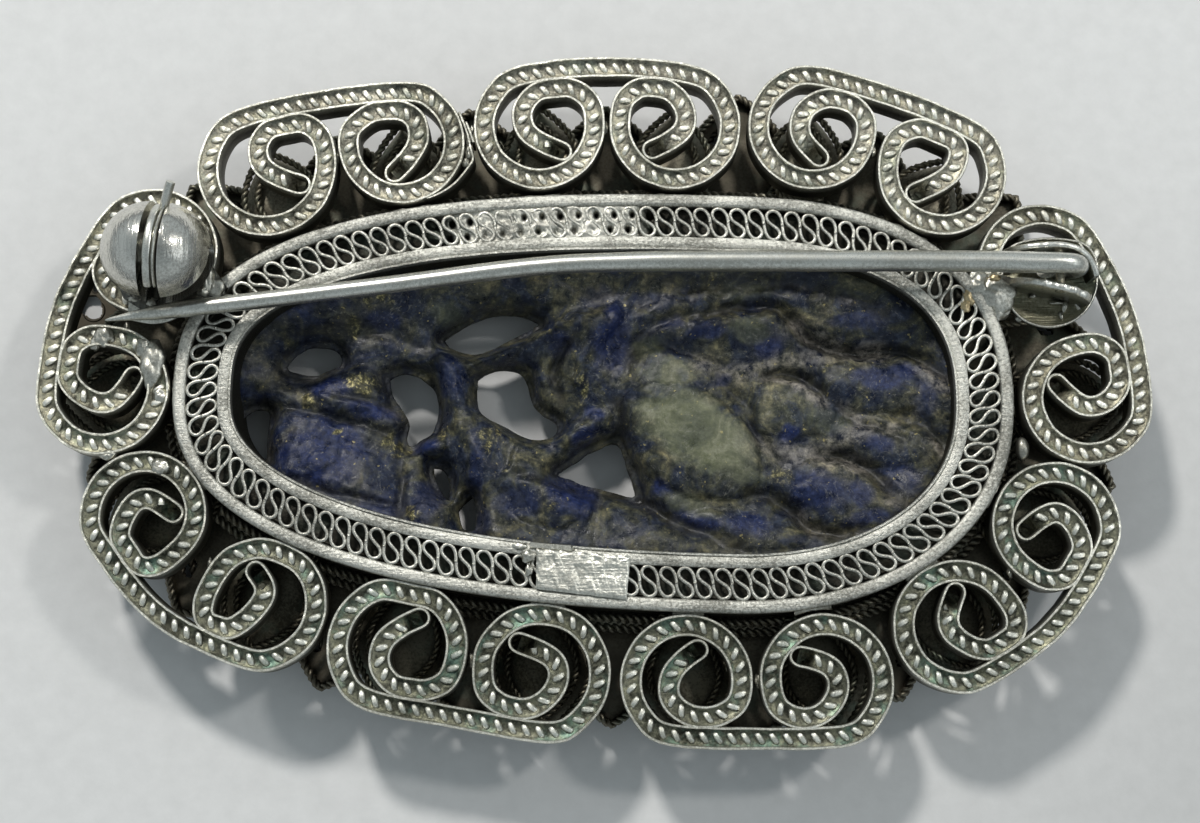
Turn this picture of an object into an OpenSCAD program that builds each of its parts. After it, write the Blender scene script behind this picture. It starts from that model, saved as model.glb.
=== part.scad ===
// Oval filigree brooch, lying on its front: +Z points out of its back, where the pin is.
// All sizes are in millimetres.  The origin is under the middle of its outline, on the
// plane that its front petals rest on.

/* [Scroll strips] */
// Width of a scroll strip, over both of its flat wires
strip_w = 0.98; // [0.9:0.02:0.98]
// Thickness of each flat wire
wire_t = 0.27; // [0.2:0.01:0.32]
// Height of a strip
strip_h = 2.4; // [2.0:0.1:2.5]
// Depth of the groove between the two flat wires
groove_d = 0.32; // [0.2:0.02:0.5]
// Height of the strips' back edge above the table
strip_top = 5.3; // [5.2:0.05:5.3]

/* [Band] */
// Half height of the band's outline
band_half_h = 10.65; // [10.6:0.01:10.7]
// Length from the fattest place to the left end
band_left = 28.2; // [28.1:0.05:28.2]
// Length from the fattest place to the right end
band_right = 14.15; // [14.1:0.05:14.2]
// Width of the band
band_w = 2.87; // [2.7:0.01:2.9]
// Width of the band's outer rim
outer_rim = 0.66; // [0.5:0.02:0.7]
// Width of the band's inner rim
inner_rim = 0.62; // [0.5:0.02:0.7]
// Height of the band's back face above the table
band_top = 5.6; // [5.5:0.05:5.6]
// How far the wire fill lies under the rims
fill_drop = 0.25; // [0.15:0.05:0.4]

/* [Stone] */
// Height of the stone's back face above the table
stone_top = 4.35; // [4.2:0.05:4.38]
// Height of its front face
stone_bottom = 0.9; // [0.9:0.05:1.2]

/* [Front petals] */
// Thickness of a petal
petal_h = 1.6; // [1.2:0.1:2.0]
// Half width of a petal
petal_half_w = 2.95; // [2.6:0.05:3.0]

/* [Pin] */
// Radius of the pin stem
stem_r = 0.55; // [0.5:0.01:0.55]
// Radius of the stem where its point begins
stem_r_end = 0.42; // [0.35:0.01:0.44]
// Radius of the hinge's cross pin
rivet_r = 0.38; // [0.3:0.01:0.4]
// Running clearance between the cross pin and the eye
hinge_play = 0.04; // [0.02:0.01:0.08]
// Radius of the eye
eye_r = 1.3; // [1.2:0.05:1.3]

/* [Catch] */
// Radius of each half ball
ball_r = 2.5; // [2.4:0.05:2.5]
// Width of the slot between the half balls
slot_w = 1.0; // [0.9:0.05:1.0]
// Play on each side of the turning ring
ring_play = 0.08; // [0.05:0.01:0.1]

/* [Hidden] */

silver = [0.74, 0.74, 0.72];
dark_silver = [0.50, 0.50, 0.47];
bright_silver = [0.82, 0.82, 0.81];
lapis = [0.33, 0.38, 0.52];

gap = 0.04;           // between pieces
fn_fine = 48;
eps = 0.01;

// ---------- the oval band ----------
oval_mid = [7.0, -0.25];
oval_turn = -1.7;
// How square the corners are: upper left, lower left, upper right, lower right
CORNERS = [2.6, 2.5, 2.43, 2.15];
function signed_pow(v, p) = sign(v) * pow(abs(v), p);
function oval_point(t) = let (
    c = cos(t), s = sin(t), a = c < 0 ? band_left : band_right, k = CORNERS[(c < 0 ? 0 : 2) + (s < 0 ? 1 : 0)],
    x = a * signed_pow(c, 2 / k), y = band_half_h * signed_pow(s, 2 / k)
) oval_mid + [x * cos(oval_turn) - y * sin(oval_turn), x * sin(oval_turn) + y * cos(oval_turn)];
// Angles bunched so that the points are even along the curve
function even_angle(u) = u - 9 * sin(2 * u);
function oval(out, n) = [for (i = [0:n - 1]) let (
    t = 360 * (i + 0.5) / n, p = oval_point(even_angle(t)),
    d = unit(oval_point(even_angle(t + 0.5)) - oval_point(even_angle(t - 0.5)))
) p - out * left_of(d)];

// ---------- the nine double scrolls ----------
// Two curls a scroll, clockwise round the band from the upper left.
// Columns: centre x, centre y, outer radius, x and y of the far side of the inner turn,
// x and y of the tongue's tip.
CURLS = [
    [-16.8,  11.9, 3.60, -17.3,  12.9, -14.9,  11.0], [ -9.9,  13.3, 3.29,  -9.1,  14.3, -10.3,  11.6],
    [ -2.8,  14.2, 3.42,  -3.7,  14.8,  -1.3,  12.7], [  4.2,  14.2, 3.42,   4.8,  14.7,   3.0,  12.9],
    [ 11.3,  14.1, 3.36,  10.7,  14.6,  12.2,  12.0], [ 17.9,  11.7, 3.34,  18.8,  12.7,  16.5,  10.6],
    [ 22.9,   6.7, 3.34,  22.5,   7.8,  23.9,   5.6], [ 24.9,  -0.1, 3.33,  25.6,  -0.4,  23.2,   0.9],
    [ 23.1,  -6.5, 3.24,  23.7,  -6.1,  21.2,  -7.1], [ 18.1, -11.5, 3.31,  17.9, -12.0,  18.1,  -9.6],
    [ 11.5, -14.2, 3.36,  12.1, -14.3,   9.7, -12.9], [  4.6, -14.2, 3.32,   3.7, -14.7,   5.6, -12.4],
    [ -2.6, -13.8, 3.50,  -1.7, -14.0,  -3.7, -12.3], [ -9.7, -12.5, 3.53, -10.6, -13.0,  -8.6, -11.1],
    [-16.5, -10.4, 3.32, -16.4, -10.2, -17.3,  -8.3], [-22.5,  -5.9, 3.20, -23.0,  -5.4, -20.6,  -6.2],
    [-24.8,   0.4, 3.38, -25.0,  -0.3, -23.1,   1.3], [-22.5,   7.5, 3.36, -22.5,   8.5, -21.4,   6.4],
];
// How far each scroll's outer strip bows out past the straight line over its curls
BOW = [0.15, 0.3, 0.15, 0.5, 0.7, 0.0, -0.1, 0.8, 0.6];
// How far each petal tip reaches past the notch that follows its scroll
REACH = [2.5, 2.9, 3.1, 3.2, 2.5, 2.5, 3.3, 2.9, 2.95];

function unit(v) = v / norm(v);
function left_of(v) = [-v[1], v[0]];
function at(c) = [c[0], c[1]];
function out_of(p, q) = let (s = left_of(unit(q - p))) s * (p + q) >= 0 ? s : -s;
function flip(list) = [for (i = [len(list) - 1:-1:0]) list[i]];

// Control points of one curl, from the outer strip to the tongue's tip
OUTER_TURN = [18, 52, 86, 120, 154, 188, 222, 256];   // degrees round the curl's centre
INNER_TURN = [32, 62, 92, 122, 152, 180];             // degrees round the inner turn's middle
function curl_points(c, toward, n, bow) = let (
    o = at(c), r = c[2] - strip_w / 2,
    side = o + r * toward, far = [c[3], c[4]], tip = [c[5], c[6]],
    mid = (side + far) / 2, a = norm(side - far) / 2, d = unit(side - far),
    s = left_of(d), p = s * n >= 0 ? s : -s,
    b = (r - strip_w - 0.05 + 0.8 * max(0, bow) - (mid - o) * n) / max(0.5, p * n),
    l = norm(tip - far), q1 = far - 0.42 * l * p, q2 = tip - 0.32 * (tip - far) - 0.10 * l * p
) concat(
    [for (t = OUTER_TURN) o + r * (cos(t) * n - sin(t) * toward)],
    [for (t = INNER_TURN) mid + a * cos(t) * d + b * sin(t) * p],
    [for (t = [0.3, 0.62, 1]) (1 - t) ^ 3 * far + 3 * t * (1 - t) ^ 2 * q1 + 3 * t * t * (1 - t) * q2 + t ^ 3 * tip]
);
turn_n = len(OUTER_TURN) + len(INNER_TURN) + 3;

function scroll_points(i) = let (
    p = CURLS[2 * i], q = CURLS[2 * i + 1],
    e = unit(at(q) - at(p)), n = out_of(at(p), at(q)),
    top = (at(p) + at(q)) / 2 + n * ((p[2] + q[2] - strip_w) / 2 + BOW[i])
) concat(flip(curl_points(p, e, n, BOW[i])), [top], curl_points(q, -e, n, BOW[i]));

// A smooth curve through points, with k steps between two of them
k_steps = 3;
function spline_at(p, i, t) = let (
    n = len(p) - 1, a = p[max(i - 1, 0)], b = p[i], c = p[min(i + 1, n)], d = p[min(i + 2, n)]
) 0.5 * (2 * b + (c - a) * t + (2 * a - 5 * b + 4 * c - d) * t * t + (3 * b - a - 3 * c + d) * t * t * t);
function spline(p, first, last) = concat(
    [for (i = [first:last - 1], j = [0:k_steps - 1]) spline_at(p, i, j / k_steps)], [p[last]]);

// The outline of a strip along a path, with a round end where it is a tongue
function normal_at(c, i) = left_of(unit(c[min(i + 1, len(c) - 1)] - c[max(i - 1, 0)]));
// On the inside of a tight bend the edge stays short of the bend's own middle
function bend_at(c, i) = i <= 0 || i >= len(c) - 1 ? 0 : let (u = c[i] - c[i - 1], v = c[i + 1] - c[i])
    2 * cross(u, v) / (norm(u) * norm(v) * norm(u + v));
function side_r(c, i, r, side) = let (k = max([for (j = [i - 1:i + 1]) side * bend_at(c, j)]))
    k * r > 0.8 ? 0.8 / k : r;
function half_round(c, from, r) = [for (k = [1:5]) c + r * [cos(from + 30 * k), sin(from + 30 * k)]];
function strip_outline(c, r, round_start, round_end) = let (
    m = len(c) - 1, d0 = c[0] - c[1], d1 = c[m] - c[m - 1],
    a0 = atan2(d0[1], d0[0]), a1 = atan2(d1[1], d1[0])
) concat(
    [for (i = [0:m]) c[i] - side_r(c, i, r, -1) * normal_at(c, i)],
    round_end ? half_round(c[m], a1 - 90, r) : [],
    [for (i = [m:-1:0]) c[i] + side_r(c, i, r, 1) * normal_at(c, i)],
    round_start ? half_round(c[0], a0 - 90, r) : []
);

// Keeps a strip's middle line just clear of the band
CLEAR = oval(gap + strip_w / 2, 180);
function nearest(p) = let (d = [for (q = CLEAR) norm(q - p)], m = min(d)) [for (i = [0:179]) if (d[i] == m) i][0];
function pushed(p) = norm([p[0] / 22, p[1] / 11.5]) > 1.25 ? p : let (
    i = nearest(p), q = CLEAR[i], n = -left_of(unit(CLEAR[(i + 1) % 180] - CLEAR[(i + 179) % 180]))
) (p - q) * n < 0 ? p - ((p - q) * n) * n : p;

// Nearest place on a path, and the point moved off it where it is too near
function foot_on(p, a, b) = a + (b - a) * min(1, max(0, ((p - a) * (b - a)) / ((b - a) * (b - a))));
function foot_of(p, path) = let (
    feet = [for (j = [0:len(path) - 2]) foot_on(p, path[j], path[j + 1])],
    d = [for (q = feet) norm(q - p)], m = min(d)
) feet[[for (i = [0:len(d) - 1]) if (d[i] == m) i][0]];
apart = strip_w + 0.06;
function spaced(p, path) = let (q = foot_of(p, path)) norm(p - q) < apart ? q + apart * unit(p - q) : p;

// Places along the line, counted from a tongue's tip: the tongue's foot, the end of the inner
// turn, and what the tongue and the inner turn are kept clear of
tongue_n = 3 * k_steps;
inner_n = turn_n * k_steps - len(OUTER_TURN) * k_steps;
bottom_n = inner_n - 2 * k_steps;
bridge_n = inner_n + 5 * k_steps;
function strip_line(i) = let (
    p = scroll_points(i), line = [for (q = spline(p, 0, len(p) - 1)) pushed(q)], m = len(line) - 1,
    bridge = [for (j = [bridge_n:m - bridge_n]) line[j]],
    outer = [for (j = [bottom_n:m - bottom_n]) line[j]]
) [for (j = [0:m]) let (k = min(j, m - j), p = line[j]) if (k >= tongue_n || norm(p - foot_of(p, outer)) > apart)
    k < inner_n ? spaced(p, bridge) : p];

module scroll(i) {
    line = strip_line(i);
    color(silver) difference() {
        translate([0, 0, strip_top - strip_h]) linear_extrude(strip_h)
            polygon(strip_outline(line, strip_w / 2, true, true));
        translate([0, 0, strip_top - groove_d]) linear_extrude(1)
            polygon(strip_outline(line, strip_w / 2 - wire_t, true, true));
    }
}

module oval_ring(outer, inner, z0, z1, n = 96) {
    translate([0, 0, z0]) difference() {
        linear_extrude(z1 - z0) polygon(oval(outer, n));
        translate([0, 0, -1]) linear_extrude(z1 - z0 + 2) polygon(oval(inner, n));
    }
}

module bezel() {
    color(silver) {
        oval_ring(0, -outer_rim, 2.6, band_top);
        oval_ring(inner_rim - band_w, -band_w, stone_top + gap, band_top);
        oval_ring(-outer_rim + 0.05, inner_rim - band_w - 0.05, stone_top + gap, band_top - fill_drop);
        oval_ring(-1.2, -1.75, stone_bottom, stone_top + 0.2);
        oval_ring(-outer_rim + 0.05, -1.25, 2.6, 2.9);
    }
}

// Plain plate soldered across the band, left bare
module mark_plate() {
    color(bright_silver) translate([-0.46, -8.98, band_top + gap]) rotate([0, 0, -3.5])
        translate([-2.4, -1.15, 0]) cube([4.8, 2.3, 0.16]);
}

// ---------- front layer ----------
// A pointed leaf from its foot to its tip
function leaf(foot, tip, w) = let (
    l = norm(tip - foot), d = unit(tip - foot), s = left_of(d),
    half = [for (i = [0:7]) let (t = i / 7) [t, (0.42 + 0.58 * sin(150 * t)) * pow(max(0, 1 - t * t * t), 0.8)]]
) concat(
    [for (h = half) foot + d * l * h[0] - s * w * h[1]],
    [for (i = [6:-1:0]) foot + d * l * half[i][0] + s * w * half[i][1]]
);

// Flat petal, pierced on both sides of its midrib
module petal(foot, tip, w) {
    d = unit(tip - foot);
    rim = leaf(foot, tip, w);
    slit = [for (k = [-1, 1]) leaf(foot + 1.9 * d + k * 0.95 * left_of(d), tip - 2.2 * d + k * 0.6 * left_of(d), 0.55)];
    m = len(rim);
    linear_extrude(petal_h) polygon(concat(rim, slit[0], slit[1]),
        [[for (i = [0:m - 1]) i], [for (i = [m:2 * m - 1]) i], [for (i = [2 * m:3 * m - 1]) i]]);
}

function notch_mid(i) = (at(CURLS[2 * i + 1]) + at(CURLS[(2 * i + 2) % 18])) / 2;
function notch_out(i) = out_of(at(CURLS[2 * i + 1]), at(CURLS[(2 * i + 2) % 18]));
function crest_mid(i) = (at(CURLS[2 * i]) + at(CURLS[2 * i + 1])) / 2;
function crest_out(i) = out_of(at(CURLS[2 * i]), at(CURLS[2 * i + 1]));

module front_petals() {
    color(dark_silver) difference() {
        union() {
            for (i = [0:8]) {
                petal(notch_mid(i) - 3.3 * notch_out(i), notch_mid(i) + REACH[i] * notch_out(i), petal_half_w);
                petal(crest_mid(i) - 3.3 * crest_out(i), crest_mid(i) + 2.15 * crest_out(i), petal_half_w);
            }
            translate([0, 0, 0.5]) linear_extrude(strip_top - strip_h - gap - 0.5) polygon(oval(0.9, 72));
        }
        // seat for the band
        translate([0, 0, 2.56]) linear_extrude(1) polygon(oval(gap, 72));
        translate([0, 0, -1]) linear_extrude(4.5) polygon(oval(-1.2 + gap, 72));
    }
    // round grain beside the band
    color(bright_silver) translate([21.9, -3.2, 2.3]) sphere(r = 0.42, $fn = fn_fine);
}

// ---------- carved stone ----------
// Pierced openings: middle x, middle y, half length, half width, turn
HOLES = [
    [ -5.4,  3.85, 2.5, 0.80,   6],
    [ -9.4,  0.05, 1.6, 1.15, -60],
    [ -4.0,  0.25, 2.3, 1.55,  25],
    [ -0.1, -3.6,  2.3, 0.95, -35],
    [ -7.3, -4.8,  1.7, 0.85, -65],
    [-14.7,  2.4,  1.3, 0.60,   0],
    [-17.7, -1.4,  1.2, 0.60,  70],
];
function lens(h) = [for (t = [0:20:340]) let (x = h[2] * cos(t), y = h[3] * sin(t))
    [h[0] + x * cos(h[4]) - y * sin(h[4]), h[1] + x * sin(h[4]) + y * cos(h[4])]];

module stone() {
    color(lapis) difference() {
        intersection() {
            translate([0, 0, stone_bottom]) linear_extrude(stone_top - stone_bottom) polygon(oval(-1.75 - gap, 96));
            translate([2, 0, stone_top - 62]) sphere(r = 62.0, $fn = 96);
        }
        for (h = HOLES) translate([0, 0, -1]) linear_extrude(8) polygon(lens(h));
    }
}

// ---------- pin and hinge ----------
hinge_at = [23.4, 6.4, 6.75];
stem_z = hinge_at[2] + 0.68;
bend_x = 2.5;         // the stem is straight and round from the eye to here
bend_l = 5.5;
bend_turn = 7.2;
bend_roll = 15;       // the bent part leans down towards the back
taper_l = 18.0;
point_l = 3.6;

module pin_stem() {
    color(bright_silver) difference() {
        union() {
            translate(hinge_at) rotate([90, 0, 0]) cylinder(r = eye_r, h = 1.16, center = true, $fn = fn_fine);
            translate([bend_x, hinge_at[1], stem_z]) {
                rotate([0, 90, 0]) cylinder(r = stem_r, h = hinge_at[0] - bend_x - 0.1, $fn = fn_fine);
                // two slight bends, each a little thinner, then one long taper to the point
                rotate([bend_roll, 0, 0]) rotate([0, 0, bend_turn / 2]) {
                    translate([0.4, 0, 0]) rotate([0, -90, 0]) cylinder(r = stem_r - 0.03, h = bend_l + 0.4, $fn = fn_fine);
                    translate([-bend_l + 0.4, 0, 0]) rotate([0, 0, bend_turn / 2]) rotate([0, -90, 0])
                        rotate_extrude($fn = fn_fine) polygon([[0, 0], [stem_r - 0.07, 0], [stem_r_end, taper_l + 0.4],
                            [0.06, taper_l + 0.4 + point_l], [0, taper_l + 0.4 + point_l]]);
                }
            }
        }
        translate(hinge_at) rotate([90, 0, 0]) cylinder(r = rivet_r + hinge_play, h = 4, center = true, $fn = fn_fine);
    }
}

ear_in = 0.68;        // from the stem's middle to each ear
ear_t = 0.5;
module ear(y) {
    translate([0, y + ear_t, 0]) rotate([90, 0, 0]) linear_extrude(ear_t) {
        translate([hinge_at[0], hinge_at[2]]) circle(r = 1.2, $fn = fn_fine);
        polygon([[20.9, 5.36], [24.9, 5.36], [24.75, 6.2], [24.45, 7.2], [23.4, 7.9], [22.3, 7.3]]);
    }
}

module hinge_bracket() {
    color(silver) difference() {
        union() {
            ear(hinge_at[1] + ear_in);
            ear(hinge_at[1] - ear_in - ear_t);
            // base: a dished plate on one side, with a strip that reaches round the eye
            translate([0, 0, 5.36]) linear_extrude(0.36) polygon([
                [20.65, 4.9], [21.3, 4.1], [22.4, 3.6], [23.6, 3.5], [24.7, 3.9], [25.1, 4.6], [24.9, 5.7],
                [21.95, 5.7], [21.95, 7.1], [24.9, 7.1], [24.9, 7.58], [20.9, 7.58], [20.2, 6.9], [20.35, 5.6]]);
            // solder that runs onto the band
            translate([20.75, 5.3, 5.66]) cylinder(r1 = 0.85, r2 = 0.35, h = 0.7, $fn = fn_fine);
            translate([19.75, 5.45, band_top + gap]) cylinder(r1 = 0.8, r2 = 0.3, h = 0.5, $fn = fn_fine);
        }
        translate(hinge_at) rotate([90, 0, 0]) cylinder(r = rivet_r, h = 4, center = true, $fn = fn_fine);
        translate([23.2, 4.5, 11.6]) sphere(r = 6.05, $fn = fn_fine);
    }
}

module hinge_rivet() {
    color(bright_silver) translate(hinge_at) rotate([90, 0, 0]) {
        cylinder(r = rivet_r, h = 2 * (ear_in + ear_t), center = true, $fn = fn_fine);
        for (k = [-1, 1]) translate([0, 0, k * (ear_in + ear_t + 0.08)])
            cylinder(r = 0.55, h = 0.16, center = true, $fn = fn_fine);
    }
}

// ---------- ball catch ----------
ball_at = [-21.72, 6.92, 7.6];
catch_yaw = -5;        // the catch's axis leans this much off the brooch's length
ball_half = 0.29;      // each half ball's middle is this far from the slot's
slot_off = 0.09;       // the slot lies a little towards the hinge
ring_out = 2.38;
ring_in = 1.02;
hub_r = 0.94;
foot_z = 5.66;

module at_ball(off = 0) {
    translate(ball_at) rotate([0, 0, catch_yaw]) translate([off, 0, 0]) children();
}

module catch_ball() {
    color(silver) difference() {
        union() {
            for (k = [-1, 1]) at_ball(k * ball_half) sphere(r = ball_r, $fn = 64);
            translate([0, 0, foot_z]) linear_extrude(0.42) polygon([
                [-24.2, 6.2], [-23.7, 4.9], [-22.6, 4.2], [-21.2, 3.9], [-20.2, 4.2], [-18.9, 4.75], [-18.5, 5.5],
                [-19.3, 6.6], [-19.9, 8.3], [-21.4, 9.1], [-23.2, 8.6]]);
        }
        // below the foot there is nothing
        translate([-30, 0, 0]) cube([20, 20, foot_z]);
        // slot for the turning ring, round a hub
        at_ball(slot_off) rotate([0, 90, 0]) difference() {
            cylinder(r = 4, h = slot_w, center = true, $fn = fn_fine);
            cylinder(r = hub_r, h = slot_w + 1, center = true, $fn = fn_fine);
            translate([1.76, -5, -2]) cube([5, 10, 4]);
        }
        // channel that the pin enters from the side
        at_ball() rotate([0, 90, 0]) cylinder(r = 0.62, h = 12, center = true, $fn = fn_fine);
        at_ball(-6) translate([0, -6, -0.62]) cube([12, 6, 1.24]);
    }
}

// Turning ring, open towards the pin, with its lever on the far side
ring_from = -25;
ring_to = 150;
module catch_rotor() {
    w = slot_w - 2 * ring_play;
    color(bright_silver) at_ball(slot_off) {
        difference() {
            // in the ring's own plane, x is the brooch's y and y is its z
            rotate([90, 0, 90]) rotate([0, 0, ring_from])
                rotate_extrude(angle = ring_to - ring_from, $fn = fn_fine)
                    translate([ring_in, -w / 2]) square([ring_out - ring_in, w]);
            // shallow line round its rim
            rotate([90, 0, 90]) rotate_extrude($fn = fn_fine) translate([ring_out - 0.16, 0.02]) square([1, 0.12]);
        }
        // lever
        rotate([28, 0, 0]) translate([-0.16, ring_out - 0.3, -0.36]) cube([0.42, 1.35, 0.72]);
    }
}

bezel();
mark_plate();
scroll(0);  // scroll_a
scroll(1);  // scroll_b
scroll(2);  // scroll_c
scroll(3);  // scroll_d
scroll(4);  // scroll_e
scroll(5);  // scroll_f
scroll(6);  // scroll_g
scroll(7);  // scroll_h
scroll(8);  // scroll_i
front_petals();
stone();
hinge_bracket();
hinge_rivet();
pin_stem();
catch_ball();
catch_rotor();
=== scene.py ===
import math
import bpy
import numpy as np
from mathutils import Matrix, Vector, noise


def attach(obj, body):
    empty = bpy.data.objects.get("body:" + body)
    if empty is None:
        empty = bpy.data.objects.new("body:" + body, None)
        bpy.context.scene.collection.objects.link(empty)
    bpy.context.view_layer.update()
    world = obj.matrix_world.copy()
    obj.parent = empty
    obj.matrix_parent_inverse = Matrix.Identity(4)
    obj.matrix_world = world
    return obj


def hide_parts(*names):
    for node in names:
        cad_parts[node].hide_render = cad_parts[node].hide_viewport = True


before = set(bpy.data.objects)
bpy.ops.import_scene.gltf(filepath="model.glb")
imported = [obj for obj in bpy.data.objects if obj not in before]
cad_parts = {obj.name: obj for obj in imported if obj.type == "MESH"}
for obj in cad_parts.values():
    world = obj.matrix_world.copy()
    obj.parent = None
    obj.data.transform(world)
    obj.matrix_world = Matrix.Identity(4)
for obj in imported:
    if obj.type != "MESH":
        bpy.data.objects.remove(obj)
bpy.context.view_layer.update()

scene = bpy.context.scene
MM = 0.001
BODY = "brooch"


# ---------------------------------------------------------------- camera
cam_data = bpy.data.cameras.new("camera")
cam = bpy.data.objects.new("camera", cam_data)
scene.collection.objects.link(cam)
cam.location = Vector((0.33, -15.96, 101.29)) * MM
aim = Vector((0.33, -0.63, 4.5)) * MM - cam.location
cam.rotation_euler = aim.to_track_quat("-Z", "Y").to_euler()
cam_data.sensor_fit = "HORIZONTAL"
cam_data.sensor_width = 36.0
cam_data.lens = 57.92
cam_data.clip_start = 0.001
cam_data.clip_end = 10.0
scene.camera = cam


# ---------------------------------------------------------------- small tools
def V(*a):
    return np.array(a, float)


def unit(v):
    return v / max(1e-12, np.linalg.norm(v))


def left(v):
    return V(-v[1], v[0])


def cd(t):
    return math.cos(math.radians(t))


def sd(t):
    return math.sin(math.radians(t))


def smooth_step(x, a, b):
    t = np.clip((x - a) / (b - a), 0, 1)
    return t * t * (3 - 2 * t)


def nz(x, y, z=0.0):
    return noise.noise(Vector((x, y, z)))


def fbm(x, y, z=0.0, octaves=4, lac=2.1, gain=0.5):
    s, a, f = 0.0, 1.0, 1.0
    for k in range(octaves):
        s += a * noise.noise(Vector((x * f + 7.3 * k, y * f - 3.1 * k, z * f)))
        a *= gain
        f *= lac
    return s


class Build:
    """Gathers vertices (mm) and faces, then makes one object in metres."""

    def __init__(self):
        self.v, self.f, self.n = [], [], 0

    def add(self, verts, faces):
        self.v.append(np.asarray(verts, float))
        n = self.n
        self.f.extend([tuple(i + n for i in q) for q in faces])
        self.n += len(verts)

    def object(self, name, mat, body=BODY, slot="silver", sharp=42.0, replaces=()):
        me = bpy.data.meshes.new(name)
        me.from_pydata((np.vstack(self.v) * MM).tolist(), [], self.f)
        me.update()
        for p in me.polygons:
            p.use_smooth = True
        if sharp:
            me.set_sharp_from_angle(angle=math.radians(sharp))
        me.materials.append(mat)
        o = bpy.data.objects.new(name, me)
        scene.collection.objects.link(o)
        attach(o, body)
        if replaces:
            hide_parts(*replaces)
        return o


def ring_faces(rows, cols, close_rows, close_cols):
    """Quads of a grid of rows x cols points, row by row."""
    r = []
    for i in range(rows if close_rows else rows - 1):
        a, b = i * cols, ((i + 1) % rows) * cols
        for j in range(cols if close_cols else cols - 1):
            k = (j + 1) % cols
            r.append((a + j, a + k, b + k, b + j))
    return r


def normals_2d(p, closed):
    """Unit left-hand normals of a plan path."""
    if closed:
        d = np.roll(p, -1, 0) - np.roll(p, 1, 0)
    else:
        d = np.gradient(p, axis=0)
    d /= np.maximum(1e-9, np.hypot(d[:, 0], d[:, 1]))[:, None]
    return np.stack([-d[:, 1], d[:, 0]], 1)


def sweep(b, path, profile, closed=True, z_wave=None):
    """Sweeps a closed profile of (sideways, z) points along a plan path."""
    p = np.asarray(path, float)
    n = normals_2d(p, closed)
    prof = np.asarray(profile, float)
    m, k = len(p), len(prof)
    v = np.zeros((m, k, 3))
    v[:, :, 0] = p[:, None, 0] + n[:, None, 0] * prof[None, :, 0]
    v[:, :, 1] = p[:, None, 1] + n[:, None, 1] * prof[None, :, 0]
    v[:, :, 2] = prof[None, :, 1]
    if z_wave is not None:
        top = prof[:, 1] > (prof[:, 1].max() + prof[:, 1].min()) / 2
        v[:, top, 2] += np.asarray(z_wave)[:, None]
    f = ring_faces(m, k, closed, True)
    if not closed:
        f.append(tuple(range(k)))
        f.append(tuple(range((m - 1) * k, m * k))[::-1])
    b.add(v.reshape(-1, 3), f)


def tube(b, path, radius, sides=8, closed=False, flat_top=None, caps=True, squeeze=1.0):
    """A round wire along a 3-D path. radius is one number or one per point."""
    p = np.asarray(path, float)
    m = len(p)
    r = np.broadcast_to(np.asarray(radius, float), (m,))
    if closed:
        t = np.roll(p, -1, 0) - np.roll(p, 1, 0)
    else:
        t = np.gradient(p, axis=0)
    t /= np.maximum(1e-9, np.linalg.norm(t, axis=1))[:, None]
    up = np.tile(V(0, 0, 1), (m, 1))
    steep = np.abs(t[:, 2]) > 0.95
    up[steep] = V(0, 1, 0)
    s = np.cross(up, t)
    s /= np.maximum(1e-9, np.linalg.norm(s, axis=1))[:, None]
    u = np.cross(t, s)
    a = (np.arange(sides) + 0.5) * 2 * math.pi / sides
    v = (p[:, None] + r[:, None, None] * (np.cos(a)[None, :, None] * s[:, None]
         + squeeze * np.sin(a)[None, :, None] * u[:, None]))
    if flat_top is not None:
        v[:, :, 2] = np.where(v[:, :, 2] > flat_top, flat_top + 0.16 * (v[:, :, 2] - flat_top), v[:, :, 2])
    f = ring_faces(m, sides, closed, True)
    if not closed and caps:
        f.append(tuple(range(sides)))
        f.append(tuple(range((m - 1) * sides, m * sides))[::-1])
    b.add(v.reshape(-1, 3), f)


def length_along(p, closed=False):
    q = np.vstack([p, p[:1]]) if closed else p
    return np.concatenate([[0], np.cumsum(np.linalg.norm(np.diff(q, axis=0), axis=1))])


def resample(p, step, closed=False):
    q = np.vstack([p, p[:1]]) if closed else np.asarray(p)
    s = length_along(q)
    n = max(4, int(round(s[-1] / step)))
    t = np.linspace(0, s[-1], n + 1)
    if closed:
        t = t[:-1]
    return np.stack([np.interp(t, s, q[:, k]) for k in range(q.shape[1])], 1)


def rope(b, line, z, lay, strand_r, helix_r, strands=2, sides=6, steps=9, closed=False, phase=0.0, rise=1.0, worn=None):
    """Twisted wire along a plan line. lay is the length of one full twist."""
    s_len = length_along(line, closed)[-1]
    turns = max(1, round(s_len / lay)) if closed else s_len / lay
    p = resample(line, lay / steps, closed)
    n = normals_2d(p, closed)
    t = np.linspace(0, 1, len(p), endpoint=not closed) * turns * 2 * math.pi
    zz = np.broadcast_to(np.asarray(z, float), (len(p),))
    for k in range(strands):
        ph = t + 2 * math.pi * k / strands + phase
        v = np.zeros((len(p), 3))
        v[:, :2] = p + helix_r * np.cos(ph)[:, None] * n
        v[:, 2] = zz + helix_r * rise * np.sin(ph)
        tube(b, v, strand_r, sides, closed, flat_top=worn)


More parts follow.
